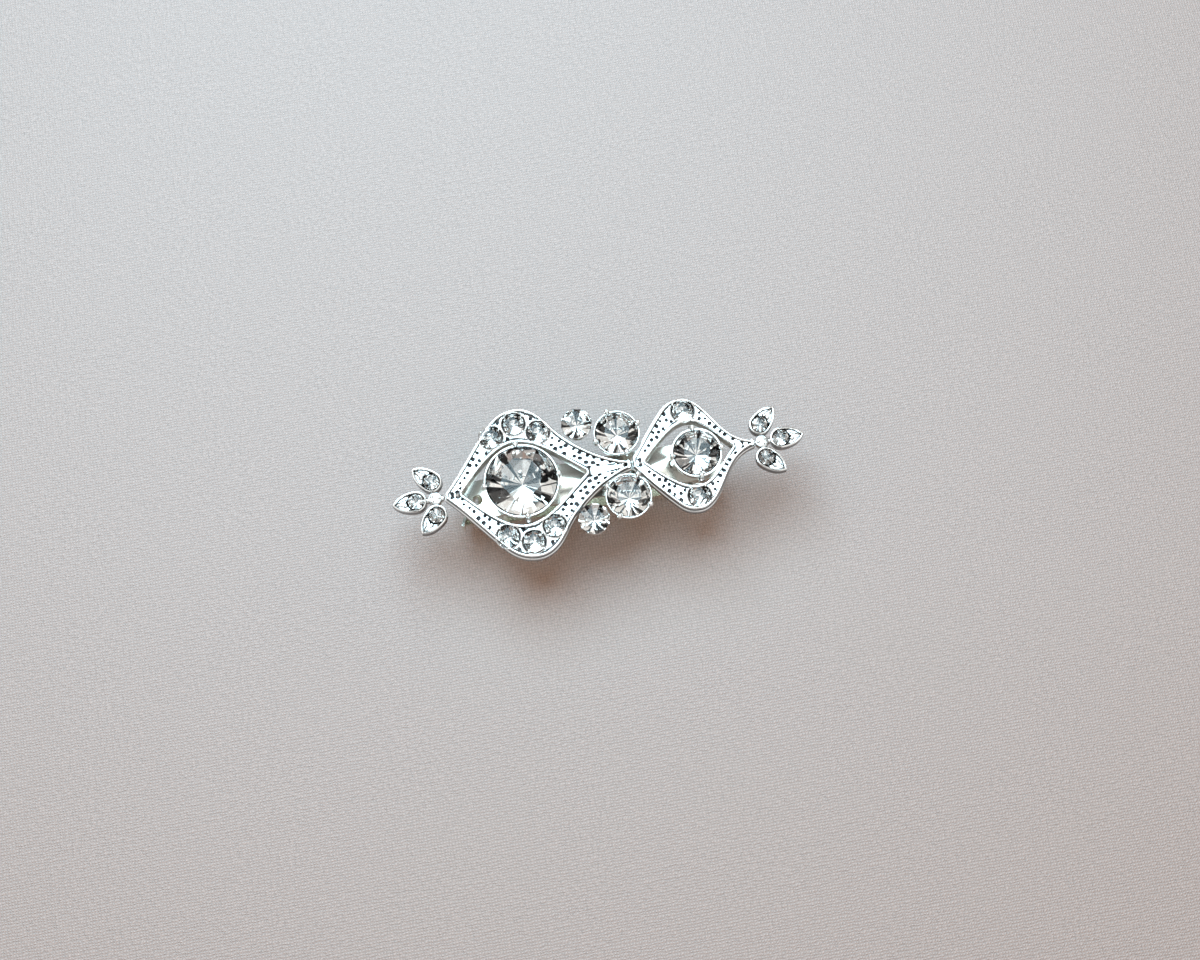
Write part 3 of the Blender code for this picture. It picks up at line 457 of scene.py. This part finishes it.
def makeCup(name, nodeName, place, stone, outer, bottom, turn, lugEnd=None):
    # a rounded ring at the girdle, a groove under it, then a plain wall that draws in to the foot
    # rows are radius, height and darkness as painted shade, from the ring over the seat to the foot and up
    # outside
    girdle = stone["girdle"]
    slope = stone["back"] / stone["radius"]
    bore = stone["radius"] + cupShape["play"]
    seat = girdle - girdleHalf - cupShape["clear"]
    hole = max(bore - (seat - bottom) / slope, 0.0)
    foot = cupShape["wall"] + (hole or 0.1 * outer)
    half = (outer - bore) / 2
    middle = girdle + girdleHalf - half
    wall, skirt, chamfer = outer - cupShape["groove"], girdle - cupShape["skirt"], cupShape["chamfer"]
    rows = [(outer - 0.02, middle - 0.12, 0.25), (outer, middle - 0.06, 0.0)]
    rows += [(outer - half + half * math.cos(a), middle + half * math.sin(a), 0.0)
             for a in np.linspace(0, math.pi, 9)]
    rows += [(bore, middle - 0.1, 0.7), (bore, seat, 1.0), (hole, max(seat - bore * slope, bottom), 1.0)]
    if not hole:
        rows += [(0.0, bottom, 0.5)]
    rows += [(hole, bottom, 0.6), (foot, bottom, 0.6), (foot + chamfer, bottom + chamfer, 0.4)]
    rows += [(foot + (wall - foot) * e**0.8, bottom + 0.1 + (skirt - bottom - 0.1) * e, 0.35)
             for e in np.linspace(0, 1, 10)]
    rows += [(wall + 0.03, skirt + 0.15, 0.15), (wall + 0.02, middle - 0.3, 0.4)]
    rows += [(wall - 0.02, middle - 0.2, 1.0)]
    rows = np.array(rows)
    place = np.array(place)
    shells = [lathe(rows[:, :2] * mm, place * mm, cupShape["around"], rows[:, 2], loop=True)]
    for quarter in range(4):
        angle = math.radians(turn + 90 * quarter)
        way = np.array([math.cos(angle), math.sin(angle)])
        line = np.column_stack([place + (outer + prongShape[:, 1:2]) * way, girdle + prongShape[:, 0]])
        shells.append(tube(line * mm, prongShape[:, 2] * mm, 14, 0.1))
        beadPlace = place + (stone["radius"] + beadShape["outset"]) * way
        spot = np.array([*beadPlace, girdle + beadShape["rise"]])
        shells.append(ball(spot * mm, beadShape["radius"] * mm, 24, 15))
    if lugEnd:
        inside, taper = lugShape["inside"], lugShape["taper"]
        for away in (1, -1):
            near = outer + away * place[1]
            y = np.array([near - inside, near - taper, lugEnd - taper, lugEnd]) * away
            line = np.stack([np.full(4, place[0]), y, np.full(4, lugShape["height"])], 1)
            shells.append(tube(line * mm, np.array([0, 1, 1, 0]) * lugShape["radius"] * mm, 20, 0.4))
    makePiece(name, "barrette", [nodeName], shells, [cupSilver])


def makePlainCup(name, nodeName, place, stone, outer, bottom):
    # a tapered cup whose edge ends under the stone's girdle, in rows of radius, height and darkness as
    # painted shade
    slope = stone["back"] / stone["radius"]
    seat = stone["girdle"] - girdleHalf - cupShape["clear"] - (stone["radius"] - outer) * slope
    edge = seat - 0.12 * slope
    low = edge - 0.7
    rows = [(0.0, seat - outer * slope, 0.8), (outer - 0.12, edge, 0.3), (outer - 0.05, edge + 0.03, 0.0),
            (outer, edge - 0.03, 0.0), (outer, low, 0.2)]
    rows += [(outer + (cupShape["wall"] - outer) * e, low + (bottom - low) * e, 0.35)
             for e in np.linspace(0, 1, 8)[1:]]
    rows = np.array(rows + [(0.0, bottom, 0.4)])
    cup = lathe(rows[:, :2] * mm, np.array(place) * mm, 64, rows[:, 2])
    makePiece(name, "barrette", [nodeName], [cup], [cupSilver])


makeCup("bigCup", "big_cup", bigPlace, bigStone, 5.8, 8.9, 0, 6.28)
makeCup("centreCup", "centre_cup", centrePlace, centreStone, 3.95, 9.2, 0, 4.55)
makeCup("mediumCupBack", "medium_cup_back", mediumBack, mediumStone, 3.54, 9.5, 15)
makeCup("mediumCupFront", "medium_cup_front", mediumFront, mediumStone, 3.54, 9.5, -33)
makePlainCup("smallCupBack", "small_cup_back", smallBack, smallStone, 2.32, 10.4)
makePlainCup("smallCupFront", "small_cup_front", smallFront, smallStone, 2.32, 10.4)
print("cups made")


# a frame's two raised sides: distance in from the edge, height over the top, darkness as painted shade
outerSection = np.array([(0, -1.9, 1), (0, -1.0, 0.3), (0.05, -0.9, 0), (0.17, -0.86, 0.6), (0.22, -0.78, 1),
                         (0.24, -0.3, 0.6), (0.27, -0.1, 0), (0.34, -0.02, 0), (0.43, 0, 0), (0.52, -0.02, 0),
                         (0.59, -0.1, 0), (0.62, -0.2, 0.5), (0.64, -0.42, 1)])
innerSection = np.array([(0.56, -0.42, 1), (0.54, -0.2, 0.4), (0.51, -0.1, 0), (0.44, -0.02, 0), (0.35, 0, 0),
                         (0.24, -0.02, 0), (0.14, -0.1, 0), (0.09, -0.25, 0.15), (0.05, -0.8, 0.5),
                         (0, -1.2, 0.5), (0, -1.9, 0.4)])
groundShape = {"rows": 640, "columns": 26, "deep": -0.4, "line": 0.8, "lineDeep": 0.12, "rise": -0.22,
               "riseOut": 0.3, "pit": -1.75, "pitRadius": 1.8}
hollowShape = {"start": 0.4, "pitch": 0.98, "apart": 0.98, "least": 0.76, "stray": 0.1, "radius": 0.31,
               "sizes": (0.7, 1.1), "deep": 0.28, "ground": 0.1, "dark": 2.0, "frontDark": 5.0}
collarShape = {"radius": 1.92, "wall": 0.11, "tall": 1.8, "up": -0.18, "grain": 0.2, "grainOut": 1.82,
               "grainUp": -0.12, "stray": 0.15}
postShape = {"radius": 0.7, "top": 11.2}

largeOuter = [[(-23.8, 0.5), (-21.0, 3.3), (-18.3, 7.2), (-16.2, 9.5)],
              [(-16.2, 9.5), (-14.9, 11.1), (-13.3, 12.0), (-11.2, 12.0)],
              [(-11.2, 12.0), (-9.3, 12.0), (-7.6, 10.7), (-6.2, 8.5)],
              [(-6.2, 8.5), (-4.4, 5.7), (0.2, 1.6), (4.95, 0.7)]]
largeInner = [[(-21.1, 0), (-18.9, 2.2), (-15.6, 6.4), (-12.2, 6.4)],
              [(-12.2, 6.4), (-9.0, 6.4), (-6.0, 3.4), (-2.0, 0)]]
smallOuter = [[(5.05, 0.7), (7.0, 3.2), (9.3, 6.2), (11.0, 7.9)],
              [(11.0, 7.9), (11.9, 8.8), (12.9, 9.1), (14.0, 9.1)],
              [(14.0, 9.1), (15.6, 9.1), (16.9, 7.8), (18.0, 6.1)],
              [(18.0, 6.1), (19.5, 4.0), (20.6, 1.2), (24.1, 0.55)]]
smallInner = [[(7.2, 0), (9.0, 1.8), (11.8, 5.0), (14.4, 5.0)],
              [(14.4, 5.0), (16.8, 5.0), (18.6, 1.9), (20.6, 0)]]


def movedAlongNormal(line, distances):
    # every point of the line moved to its left by each distance, and kept on its own side of the middle
    ahead = np.gradient(line, axis=0)
    normal = np.stack([-ahead[:, 1], ahead[:, 0]], 1)
    normal /= np.linalg.norm(normal, axis=1)[:, None]
    moved = line[:, None] + normal[:, None] * np.asarray(distances)[None, :, None]
    moved[:, :, 1] = np.maximum(moved[:, :, 1], 0)
    moved[0, :, 1] = moved[-1, :, 1] = 0
    return moved


def isClear(spot, others, least):
    return all(math.hypot(spot[0] - other[0], spot[1] - other[1]) > least for other in others)


def hollows(outerEdge, innerEdge, pave):
    # centres of the hollows in rows down the sunk ground, as many abreast as fit, none by a small stone
    spots = []
    stoneSpace = collarShape["radius"] + groundShape["riseOut"]
    gone = lengthSoFar((outerEdge + innerEdge) / 2)
    for at in np.arange(hollowShape["start"], gone[-1], hollowShape["pitch"]):
        edgeA = np.array([np.interp(at, gone, outerEdge[:, k]) for k in (0, 1)])
        edgeB = np.array([np.interp(at, gone, innerEdge[:, k]) for k in (0, 1)])
        abreast = max(round(np.linalg.norm(edgeB - edgeA) / hollowShape["apart"]), 1)
        for number in range(abreast):
            stray = draw.uniform(-hollowShape["stray"], hollowShape["stray"], 2)
            spot = edgeA + (edgeB - edgeA) * (number + 0.5) / abreast + stray
            if isClear(spot, pave, stoneSpace) and isClear(spot, spots, hollowShape["least"]):
                spots.append((*spot, hollowShape["radius"] * draw.uniform(*hollowShape["sizes"])))
    return spots


def domeHeights(x, y, spots):
    # height of the tallest dome over each point: root of 1 - (distance over radius) squared, or 0
    height = np.zeros(x.shape)
    for spotX, spotY, radius in spots:
        away = ((x - spotX) ** 2 + (y - spotY) ** 2) / radius**2
        height = np.maximum(height, np.sqrt(np.clip(1 - away, 0, None)))
    return height


def distanceFrom(flat, spot):
    return np.hypot(flat[..., 0] - spot[0], flat[..., 1] - spot[1])


def makeFrame(name, nodeName, outerCurves, innerCurves, pave, postX):
    # half outlines, moved step by step into the two raised sides, with the sunk ground drawn between them
    count, columns = groundShape["rows"], groundShape["columns"]
    outer = joined(outerCurves)
    outer = evenly(np.concatenate([[(outer[0, 0], 0)], outer, [(outer[-1, 0], 0)]]), count)
    inner = evenly(joined(innerCurves), count)
    outerSide = movedAlongNormal(outer, -outerSection[:, 0])
    innerSide = movedAlongNormal(inner, innerSection[:, 0])
    share = np.linspace(0, 1, columns + 2)[1:-1][None, :, None]
    ground = outerSide[:, -1:] * (1 - share) + innerSide[:, :1] * share
    flat = np.concatenate([outerSide, ground, innerSide], axis=1)
    domes = domeHeights(ground[..., 0], ground[..., 1], hollows(outerSide[:, -1], innerSide[:, 0], pave))
    first, last = len(outerSection), len(outerSection) + columns
    height = np.full(flat.shape[:2], frameTop)
    dark = np.zeros(flat.shape[:2])
    for part, section in ((slice(0, first), outerSection), (slice(last, None), innerSection)):
        height[:, part] += section[:, 1]
        dark[:, part] = section[:, 2]
    height[:, first:last] += groundShape["deep"] - hollowShape["deep"] * domes
    # painted shade in the hollows, by their depth, and in the lines along the ground's edges below
    dark[:, first:last] = np.clip(hollowShape["ground"] + hollowShape["dark"] * domes, 0, 1)
    for column in (first, last - 1):
        height[:, column] -= groundShape["lineDeep"]
        dark[:, column] = groundShape["line"]
    for spot in pave:
        near = distanceFrom(ground, spot) < collarShape["radius"] + groundShape["riseOut"]
        height[:, first:last] = np.where(near, frameTop + groundShape["rise"], height[:, first:last])
    inside = slice(first - 2, last + 2)
    # painted shade: the pits under the small stones are black
    for spot in pave:
        near = distanceFrom(flat[:, inside], spot) < groundShape["pitRadius"]
        height[:, inside] = np.where(near, frameTop + groundShape["pit"], height[:, inside])
        dark[:, inside] = np.where(near, 1.0, dark[:, inside])
    points = np.concatenate([flat, height[..., None]], axis=2) * mm
    quads = gridQuads(count, flat.shape[1], loopCols=True)
    front = dark.copy()  # the half nearer the viewer gets more painted shade in its hollows
    frontHollows = np.clip(hollowShape["frontDark"] * domes, 0, 1)
    front[:, first:last] = np.where(domes > 0, frontHollows, front[:, first:last])
    shells = [shell(points, [quads], dark.reshape(-1)),
              shell(points * (1, -1, 1), [quads[:, ::-1]], front.reshape(-1))]
    for spot in pave:
        shells += collar(spot) + collar(mirrored(spot))
    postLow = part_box(nodeName)[0].z
    postTop, postRadius = postShape["top"] * mm, postShape["radius"] * mm
    post = [(0.0, postLow), (postRadius, postLow), (postRadius, postTop), (0.0, postTop)]
    shells.append(lathe(post, (postX * mm, 0.0), 24, 0.3))
    makePiece(name, "barrette", [nodeName], shells, [silver])


def collar(place):
    # thin round wall that holds a small stone, with four grains pushed over its edge
    angle = np.linspace(0, 2 * math.pi, 12, endpoint=False)
    radius = collarShape["radius"] + collarShape["wall"] * np.cos(angle)
    height = frameTop + collarShape["up"] + collarShape["tall"] * collarShape["wall"] * np.sin(angle)
    made = [lathe(np.stack([radius, height], 1) * mm, np.array(place) * mm, 48, 0.15, loop=True)]
    for quarter in range(4):
        a = math.radians(45 + 90 * quarter) + draw.uniform(-collarShape["stray"], collarShape["stray"])
        x = place[0] + collarShape["grainOut"] * math.cos(a)
        y = place[1] + collarShape["grainOut"] * math.sin(a)
        spot = np.array([x, y, frameTop + collarShape["grainUp"]])
        made.append(ball(spot * mm, collarShape["grain"] * mm, 10, 6))
    return made


makeFrame("largeFrame", "large_frame", largeOuter, largeInner, largePave, 2.9)
makeFrame("smallFrame", "small_frame", smallOuter, smallInner, smallPave, 6.35)
print("frames made")


leafShape = {"rows": 70, "radius": 1.65, "reach": 3.6, "bottom": 11.15, "top": frameTop - 0.15, "floor": 0.38,
             "seatRadius": 1.33, "seatDark": 1.36, "seat": 1.4, "beadRise": 0.3}
# a leaf's edge: distance in, height over the bottom, darkness as painted shade
leafSection = np.array([(0, 0.12, 0.8), (0, 1.25, 0.8), (0.02, 1.48, 0.2), (0.07, 1.57, 0), (0.17, 1.6, 0),
                        (0.27, 1.56, 0), (0.33, 1.45, 0.5), (0.37, 1.2, 1)])
leafUnder = np.array([0, 0.5, 0.97])  # how far out the underside's points lie, as shares of the outline
leafBeads = ((1.68, 0.3, 0.36), (1.68, -0.3, 0.36), (2.2, 0.0, 0.36), (2.62, 0.0, 0.26), (0.9, 1.1, 0.3),
             (0.9, -1.1, 0.3))  # along the leaf, across it, radius


def leafLine(count):
    # half circle round the stone, drawn out to a point on the other side
    radius, reach = leafShape["radius"], leafShape["reach"]
    side = bezier([(reach, 0), (0.8 * reach, 0.72 * radius), (0.4 * reach, radius), (0, radius)], 40)
    back = [(-radius * math.sin(a), radius * math.cos(a)) for a in np.linspace(0, math.pi / 2, 30)[1:]]
    return evenly(np.concatenate([side, back]), count)


def leafShells(place, angle):
    # edge sections follow the leaf's outline, and the sunk floor closes in on the stone's middle
    count = leafShape["rows"]
    edge = movedAlongNormal(leafLine(count), leafSection[:, 0])
    under = edge[:, :1] * leafUnder[None, :, None]
    floor = edge[:, -1:] * np.linspace(1, 0, 12)[1:][None, :, None]
    away = distanceFrom(floor, (0, 0))
    domes = domeHeights(floor[..., 0], floor[..., 1], leafBeads)
    floorHeight = leafShape["top"] - leafShape["floor"] + leafShape["beadRise"] * domes
    floorHeight = np.where(away < leafShape["seatRadius"], leafShape["top"] - leafShape["seat"], floorHeight)
    # painted shade: black in the seat under the stone, lighter on the beads, grey on the underside
    floorDark = np.where(away < leafShape["seatDark"], 1.0, np.clip(0.35 - 2 * domes, 0, 1))
    edgeHeight = np.broadcast_to(leafShape["bottom"] + leafSection[:, 1], edge.shape[:2])
    edgeDark = np.broadcast_to(leafSection[:, 2], edge.shape[:2])
    flat = np.concatenate([under, edge, floor], axis=1)
    height = np.concatenate([np.full(under.shape[:2], leafShape["bottom"]), edgeHeight, floorHeight], axis=1)
    dark = np.concatenate([np.full(under.shape[:2], 0.4), edgeDark, floorDark], axis=1)
    quads = gridQuads(count, flat.shape[1])
    turn = np.array([[math.cos(angle), math.sin(angle)], [-math.sin(angle), math.cos(angle)]])
    made = []
    for way in (1, -1):
        spread = (flat * (1, way)) @ turn + place
        points = np.concatenate([spread, height[..., None]], axis=2) * mm
        made.append(shell(points, [quads[:, ::way]], dark.reshape(-1)))
    return made


# the hub's dome: radius, height, darkness as painted shade
leafTop = leafShape["top"]
hubDome = np.array([(0, 11.25, 0.4), (0.95, 11.25, 0.4), (1.05, 11.35, 0.2), (1.05, leafTop - 0.55, 0.5),
                    (0.95, leafTop - 0.35, 0.3), (0.6, leafTop - 0.26, 0.3), (0, leafTop - 0.24, 0.3)])
hubShape = {"height": 11.9, "beadAngles": (40, -40, 180), "beadOut": 0.6, "bead": 0.3, "beadDrop": 0.25,
            "armEnd": 11.8, "neckEnd": 11.85, "neckIn": 0.05}
armRadii = np.array([0, 0.5, 0.5, 0.48, 0.48, 0.5, 0.5, 0])
neckRadii = np.array([0, 0.52, 0.53, 0.5, 0.5, 0.52, 0.54, 0])


def makeSprig(name, nodeName, side, tipX):
    # arms run straight from the hub to each leaf, and a neck from the frame's tip to the hub
    hubX = side * sprigPlaces["hub"]
    hub = np.array([hubX, 0.0, hubShape["height"]])
    shells = [lathe(hubDome[:, :2] * mm, (hubX * mm, 0.0), 40, hubDome[:, 2])]
    for angle in np.radians(hubShape["beadAngles"]):
        x = side * (sprigPlaces["hub"] + hubShape["beadOut"] * math.cos(angle))
        spot = np.array([x, hubShape["beadOut"] * math.sin(angle), leafTop - hubShape["beadDrop"]])
        shells.append(ball(spot * mm, hubShape["bead"] * mm, 16, 9))
    share = np.linspace(0, 1, len(armRadii))[:, None]
    for word, place, angle in sprigLeaves(side):
        shells += leafShells(place, angle)
        arm = hub * (1 - share) + np.array([*place, hubShape["armEnd"]]) * share
        shells.append(tube(arm * mm, armRadii * mm, 16, 0.25))
    neck = np.array([tipX + side * hubShape["neckIn"], 0, hubShape["neckEnd"]]) * (1 - share) + hub * share
    shells.append(tube(neck * mm, neckRadii * mm, 20, 0.15))
    makePiece(name, "barrette", [nodeName], shells, [silver])


makeSprig("leftSprig", "left_sprig", -1, -23.8)
makeSprig("rightSprig", "right_sprig", 1, 24.1)
print("sprigs made")


# each part of the barrette: its node, the body it rides on, and the width of its rounded edges
barretteParts = {
    "topBar": ("top_bar", "barrette", 0.07),
    "claspArm": ("clasp_arm", "arm", 0.1),
    "hingePin": ("hinge_pin", "barrette", 0.06),
    "tensionBand": ("tension_band", "band", 0.05),
    "bandRivet": ("band_rivet", "barrette", 0.05),
    "catchBase": ("catch_base", "barrette", 0.06),
    "catchRivet": ("catch_rivet", "barrette", 0.05),
    "catchWingBack": ("catch_wing_back", "wing_back", 0.06),
    "catchWingFront": ("catch_wing_front", "wing_front", 0.06),
    "solderPadLeft": ("solder_pad_left", "barrette", 0.04),
    "solderPadRight": ("solder_pad_right", "barrette", 0.1)}
partFinish = {"doubles": 1e-6, "flatWithin": 0.6, "segments": 2}


def roundedPart(name, nodeName, body, edge):
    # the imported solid, merged, its flat faces joined, and its edges rounded by a narrow bevel
    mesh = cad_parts[nodeName].data.copy()
    mesh.name = name
    mesh.materials.clear()
    soft = bmesh.new()
    soft.from_mesh(mesh)
    bmesh.ops.remove_doubles(soft, verts=soft.verts, dist=partFinish["doubles"])
    flatWithin = math.radians(partFinish["flatWithin"])
    bmesh.ops.dissolve_limit(soft, angle_limit=flatWithin, verts=soft.verts, edges=soft.edges)
    soft.to_mesh(mesh)
    soft.free()
    piece = bpy.data.objects.new(name, mesh)
    bpy.context.scene.collection.objects.link(piece)
    soldered = nodeName.startswith("solder")
    mesh.materials.append(solder if soldered else steel)
    bevel = piece.modifiers.new("roundedEdge", "BEVEL")
    bevel.width = edge * mm
    bevel.segments = partFinish["segments"]
    bevel.angle_limit = math.radians(meshLimits["sharpAt"])
    bevel.harden_normals = True
    smoothMesh(mesh, meshLimits["sharpAt"])
    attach(piece, body)
    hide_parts(nodeName)


for partName, (nodeName, body, edge) in barretteParts.items():
    roundedPart(partName, nodeName, body, edge)
print("barrette made")


floorLook = {"size": 3.0, "colour": (0.66, 0.615, 0.605), "darker": 0.7, "rampStart": 0.3, "roughness": 0.9,
             "thread": 0.00044, "waviness": 4.0, "mottle": 2200.0, "bump": 1.0, "depth": 0.0001}
threadScale = 0.31  # a wave texture's scale for threads one metre apart


def makeFloor():
    # matt woven card: two crossed waves multiplied into a weave, plus a fine mottling
    half = floorLook["size"] / 2
    mesh = bpy.data.meshes.new("paleFloor")
    corners = [(-half, -half, 0), (half, -half, 0), (half, half, 0), (-half, half, 0)]
    mesh.from_pydata(corners, [], [(0, 1, 2, 3)])
    floor = bpy.data.objects.new("paleFloor", mesh)
    bpy.context.scene.collection.objects.link(floor)
    material, tree, shader = newMaterial("paleCard")
    shader.inputs["Roughness"].default_value = floorLook["roughness"]
    where = node(tree, "ShaderNodeTexCoord")
    weave = node(tree, "ShaderNodeMath", operation="MULTIPLY")
    for number, axis in enumerate(("X", "Y")):
        wave = node(tree, "ShaderNodeTexWave", bands_direction=axis)
        wave.inputs["Scale"].default_value = threadScale / floorLook["thread"]
        wave.inputs["Distortion"].default_value = floorLook["waviness"]
        wave.inputs["Detail"].default_value = 2.0
        wave.inputs["Detail Scale"].default_value = 1.5
        link(tree, where.outputs["Object"], wave.inputs["Vector"])
        link(tree, wave.outputs["Fac"], weave.inputs[number])
    mottle = node(tree, "ShaderNodeTexNoise")
    mottle.inputs["Scale"].default_value = floorLook["mottle"]
    mottle.inputs["Detail"].default_value = 5.0
    link(tree, where.outputs["Object"], mottle.inputs["Vector"])
    both = node(tree, "ShaderNodeMath", operation="ADD")
    link(tree, weave.outputs[0], both.inputs[0])
    link(tree, mottle.outputs["Fac"], both.inputs[1])
    ramp = node(tree, "ShaderNodeValToRGB")
    dark, light = ramp.color_ramp.elements
    dark.position, light.position = floorLook["rampStart"], 1.0
    dark.color = (*(floorLook["darker"] * c for c in floorLook["colour"]), 1)
    light.color = (*floorLook["colour"], 1)
    link(tree, both.outputs[0], ramp.inputs["Fac"])
    link(tree, ramp.outputs["Color"], shader.inputs["Base Color"])
    addBump(tree, both.outputs[0], floorLook["bump"], floorLook["depth"], shader)
    mesh.materials.append(material)


def towards(azimuth, elevation):
    # x is sine of azimuth, y is minus its cosine, both times cosine of elevation; z is sine of elevation
    a, e = math.radians(azimuth), math.radians(elevation)
    return Vector((math.sin(a) * math.cos(e), -math.cos(a) * math.cos(e), math.sin(e)))


# bright and dark fields of the room round the clip: azimuth, elevation, inner and outer half angle, colour
roomFields = [
    (-148, 58, 8, 26, (1.9, 2.1, 2.2)),
    (168, 70, 9, 26, (1.35, 1.4, 1.4)),
    (-10, 74, 5, 8, (0.03, 0.03, 0.03)),
    (-60, 72, 3, 5, (0.04, 0.04, 0.04)),
    (20, 55, 4, 8, (1.7, 1.7, 1.7)),
    (80, 82, 4, 6, (1.8, 1.8, 1.8))]
roomLook = {"high": (0.92, 0.93, 0.92), "low": (0.2, 0.19, 0.18), "fadeFrom": -0.1, "fadeTo": 0.8,
            "patches": 1.7, "warm": (0.66, 0.4, 0.275)}
patchShades = ((0.0, 0.03), (0.3, 0.35), (0.42, 1.0), (0.72, 1.5))  # where each shade starts, and the shade


def softStep(tree, value, low, high):
    # 0 below low, 1 above high, and a smooth step between them
    step = node(tree, "ShaderNodeMapRange", interpolation_type="SMOOTHSTEP")
    step.inputs["From Min"].default_value = low
    step.inputs["From Max"].default_value = high
    link(tree, value, step.inputs["Value"])
    return step.outputs["Result"]


def multiplied(tree, first, second):
    mix = node(tree, "ShaderNodeMix", data_type="RGBA", blend_type="MULTIPLY")
    mix.inputs["Factor"].default_value = 1.0
    link(tree, first, mix.inputs["A"])
    link(tree, second, mix.inputs["B"])
    return mix.outputs["Result"]


def makeRoom():
    # pale room, darker towards the ground, broken into patches, with soft-edged panels
    # matt surfaces get its light warmer
    world = bpy.data.worlds.new("room")
    bpy.context.scene.world = world
    world.use_nodes = True
    tree = world.node_tree
    where = node(tree, "ShaderNodeTexCoord").outputs["Generated"]
    split = node(tree, "ShaderNodeSeparateXYZ")
    link(tree, where, split.inputs[0])
    level = softStep(tree, split.outputs["Z"], roomLook["fadeFrom"], roomLook["fadeTo"])
    fade = node(tree, "ShaderNodeMix", data_type="RGBA")
    link(tree, level, fade.inputs["Factor"])
    fade.inputs["A"].default_value = (*roomLook["low"], 1)
    fade.inputs["B"].default_value = (*roomLook["high"], 1)
    cells = node(tree, "ShaderNodeTexVoronoi")
    cells.inputs["Scale"].default_value = roomLook["patches"]
    link(tree, where, cells.inputs["Vector"])
    share = node(tree, "ShaderNodeValToRGB")
    share.color_ramp.interpolation = "CONSTANT"
    for place, shade in patchShades[2:]:
        share.color_ramp.elements.new(place)
    for element, (place, shade) in zip(share.color_ramp.elements, patchShades):
        element.position = place
        element.color = (shade, shade, shade, 1)
    link(tree, cells.outputs["Color"], share.inputs["Fac"])
    colour = multiplied(tree, fade.outputs["Result"], share.outputs["Color"])
    for azimuth, elevation, inner, outer, shade in roomFields:
        facing = node(tree, "ShaderNodeVectorMath", operation="DOT_PRODUCT")
        facing.inputs[1].default_value = towards(azimuth, elevation)
        link(tree, where, facing.inputs[0])
        edges = math.cos(math.radians(outer)), math.cos(math.radians(inner))
        mix = node(tree, "ShaderNodeMix", data_type="RGBA")
        link(tree, softStep(tree, facing.outputs["Value"], *edges), mix.inputs["Factor"])
        link(tree, colour, mix.inputs["A"])
        mix.inputs["B"].default_value = (*shade, 1)
        colour = mix.outputs["Result"]
    way = node(tree, "ShaderNodeLightPath")
    tint = node(tree, "ShaderNodeMix", data_type="RGBA")
    tint.inputs["A"].default_value = (1, 1, 1, 1)
    tint.inputs["B"].default_value = (*roomLook["warm"], 1)
    link(tree, way.outputs["Is Diffuse Ray"], tint.inputs["Factor"])
    tinted = multiplied(tree, colour, tint.outputs["Result"])
    link(tree, tinted, tree.nodes["Background"].inputs["Color"])


keyLight = {"azimuth": -170, "elevation": 63, "distance": 0.3, "size": 0.28, "power": 1.06,
            "colour": (0.62, 0.92, 1.07)}


def makeKeyLight():
    lamp = bpy.data.lights.new("keyPanel", "AREA")
    lamp.shape = "DISK"
    lamp.size = keyLight["size"]
    lamp.energy = keyLight["power"]
    lamp.color = keyLight["colour"]
    panel = bpy.data.objects.new("keyPanel", lamp)
    way = towards(keyLight["azimuth"], keyLight["elevation"])
    panel.location = way * keyLight["distance"]
    panel.rotation_euler = way.to_track_quat("Z", "Y").to_euler()
    bpy.context.scene.collection.objects.link(panel)


cameraPlace = {"azimuth": -10.4, "elevation": 74, "aim": (-0.22 * mm, -1.75 * mm, 12.9 * mm),
               "distance": 0.2778, "lens": 55, "sensor": 36, "clipStart": 0.01}


def makeCamera():
    lens = bpy.data.cameras.new("camera")
    lens.lens = cameraPlace["lens"]
    lens.sensor_width = cameraPlace["sensor"]
    lens.clip_start = cameraPlace["clipStart"]
    camera = bpy.data.objects.new("camera", lens)
    way = towards(cameraPlace["azimuth"], cameraPlace["elevation"])
    camera.location = Vector(cameraPlace["aim"]) + way * cameraPlace["distance"]
    camera.rotation_euler = way.to_track_quat("Z", "Y").to_euler()
    bpy.context.scene.collection.objects.link(camera)
    bpy.context.scene.camera = camera


makeFloor()
makeRoom()
makeKeyLight()
makeCamera()
bpy.context.scene.view_settings.view_transform = "Standard"
print("floor, light and camera made")
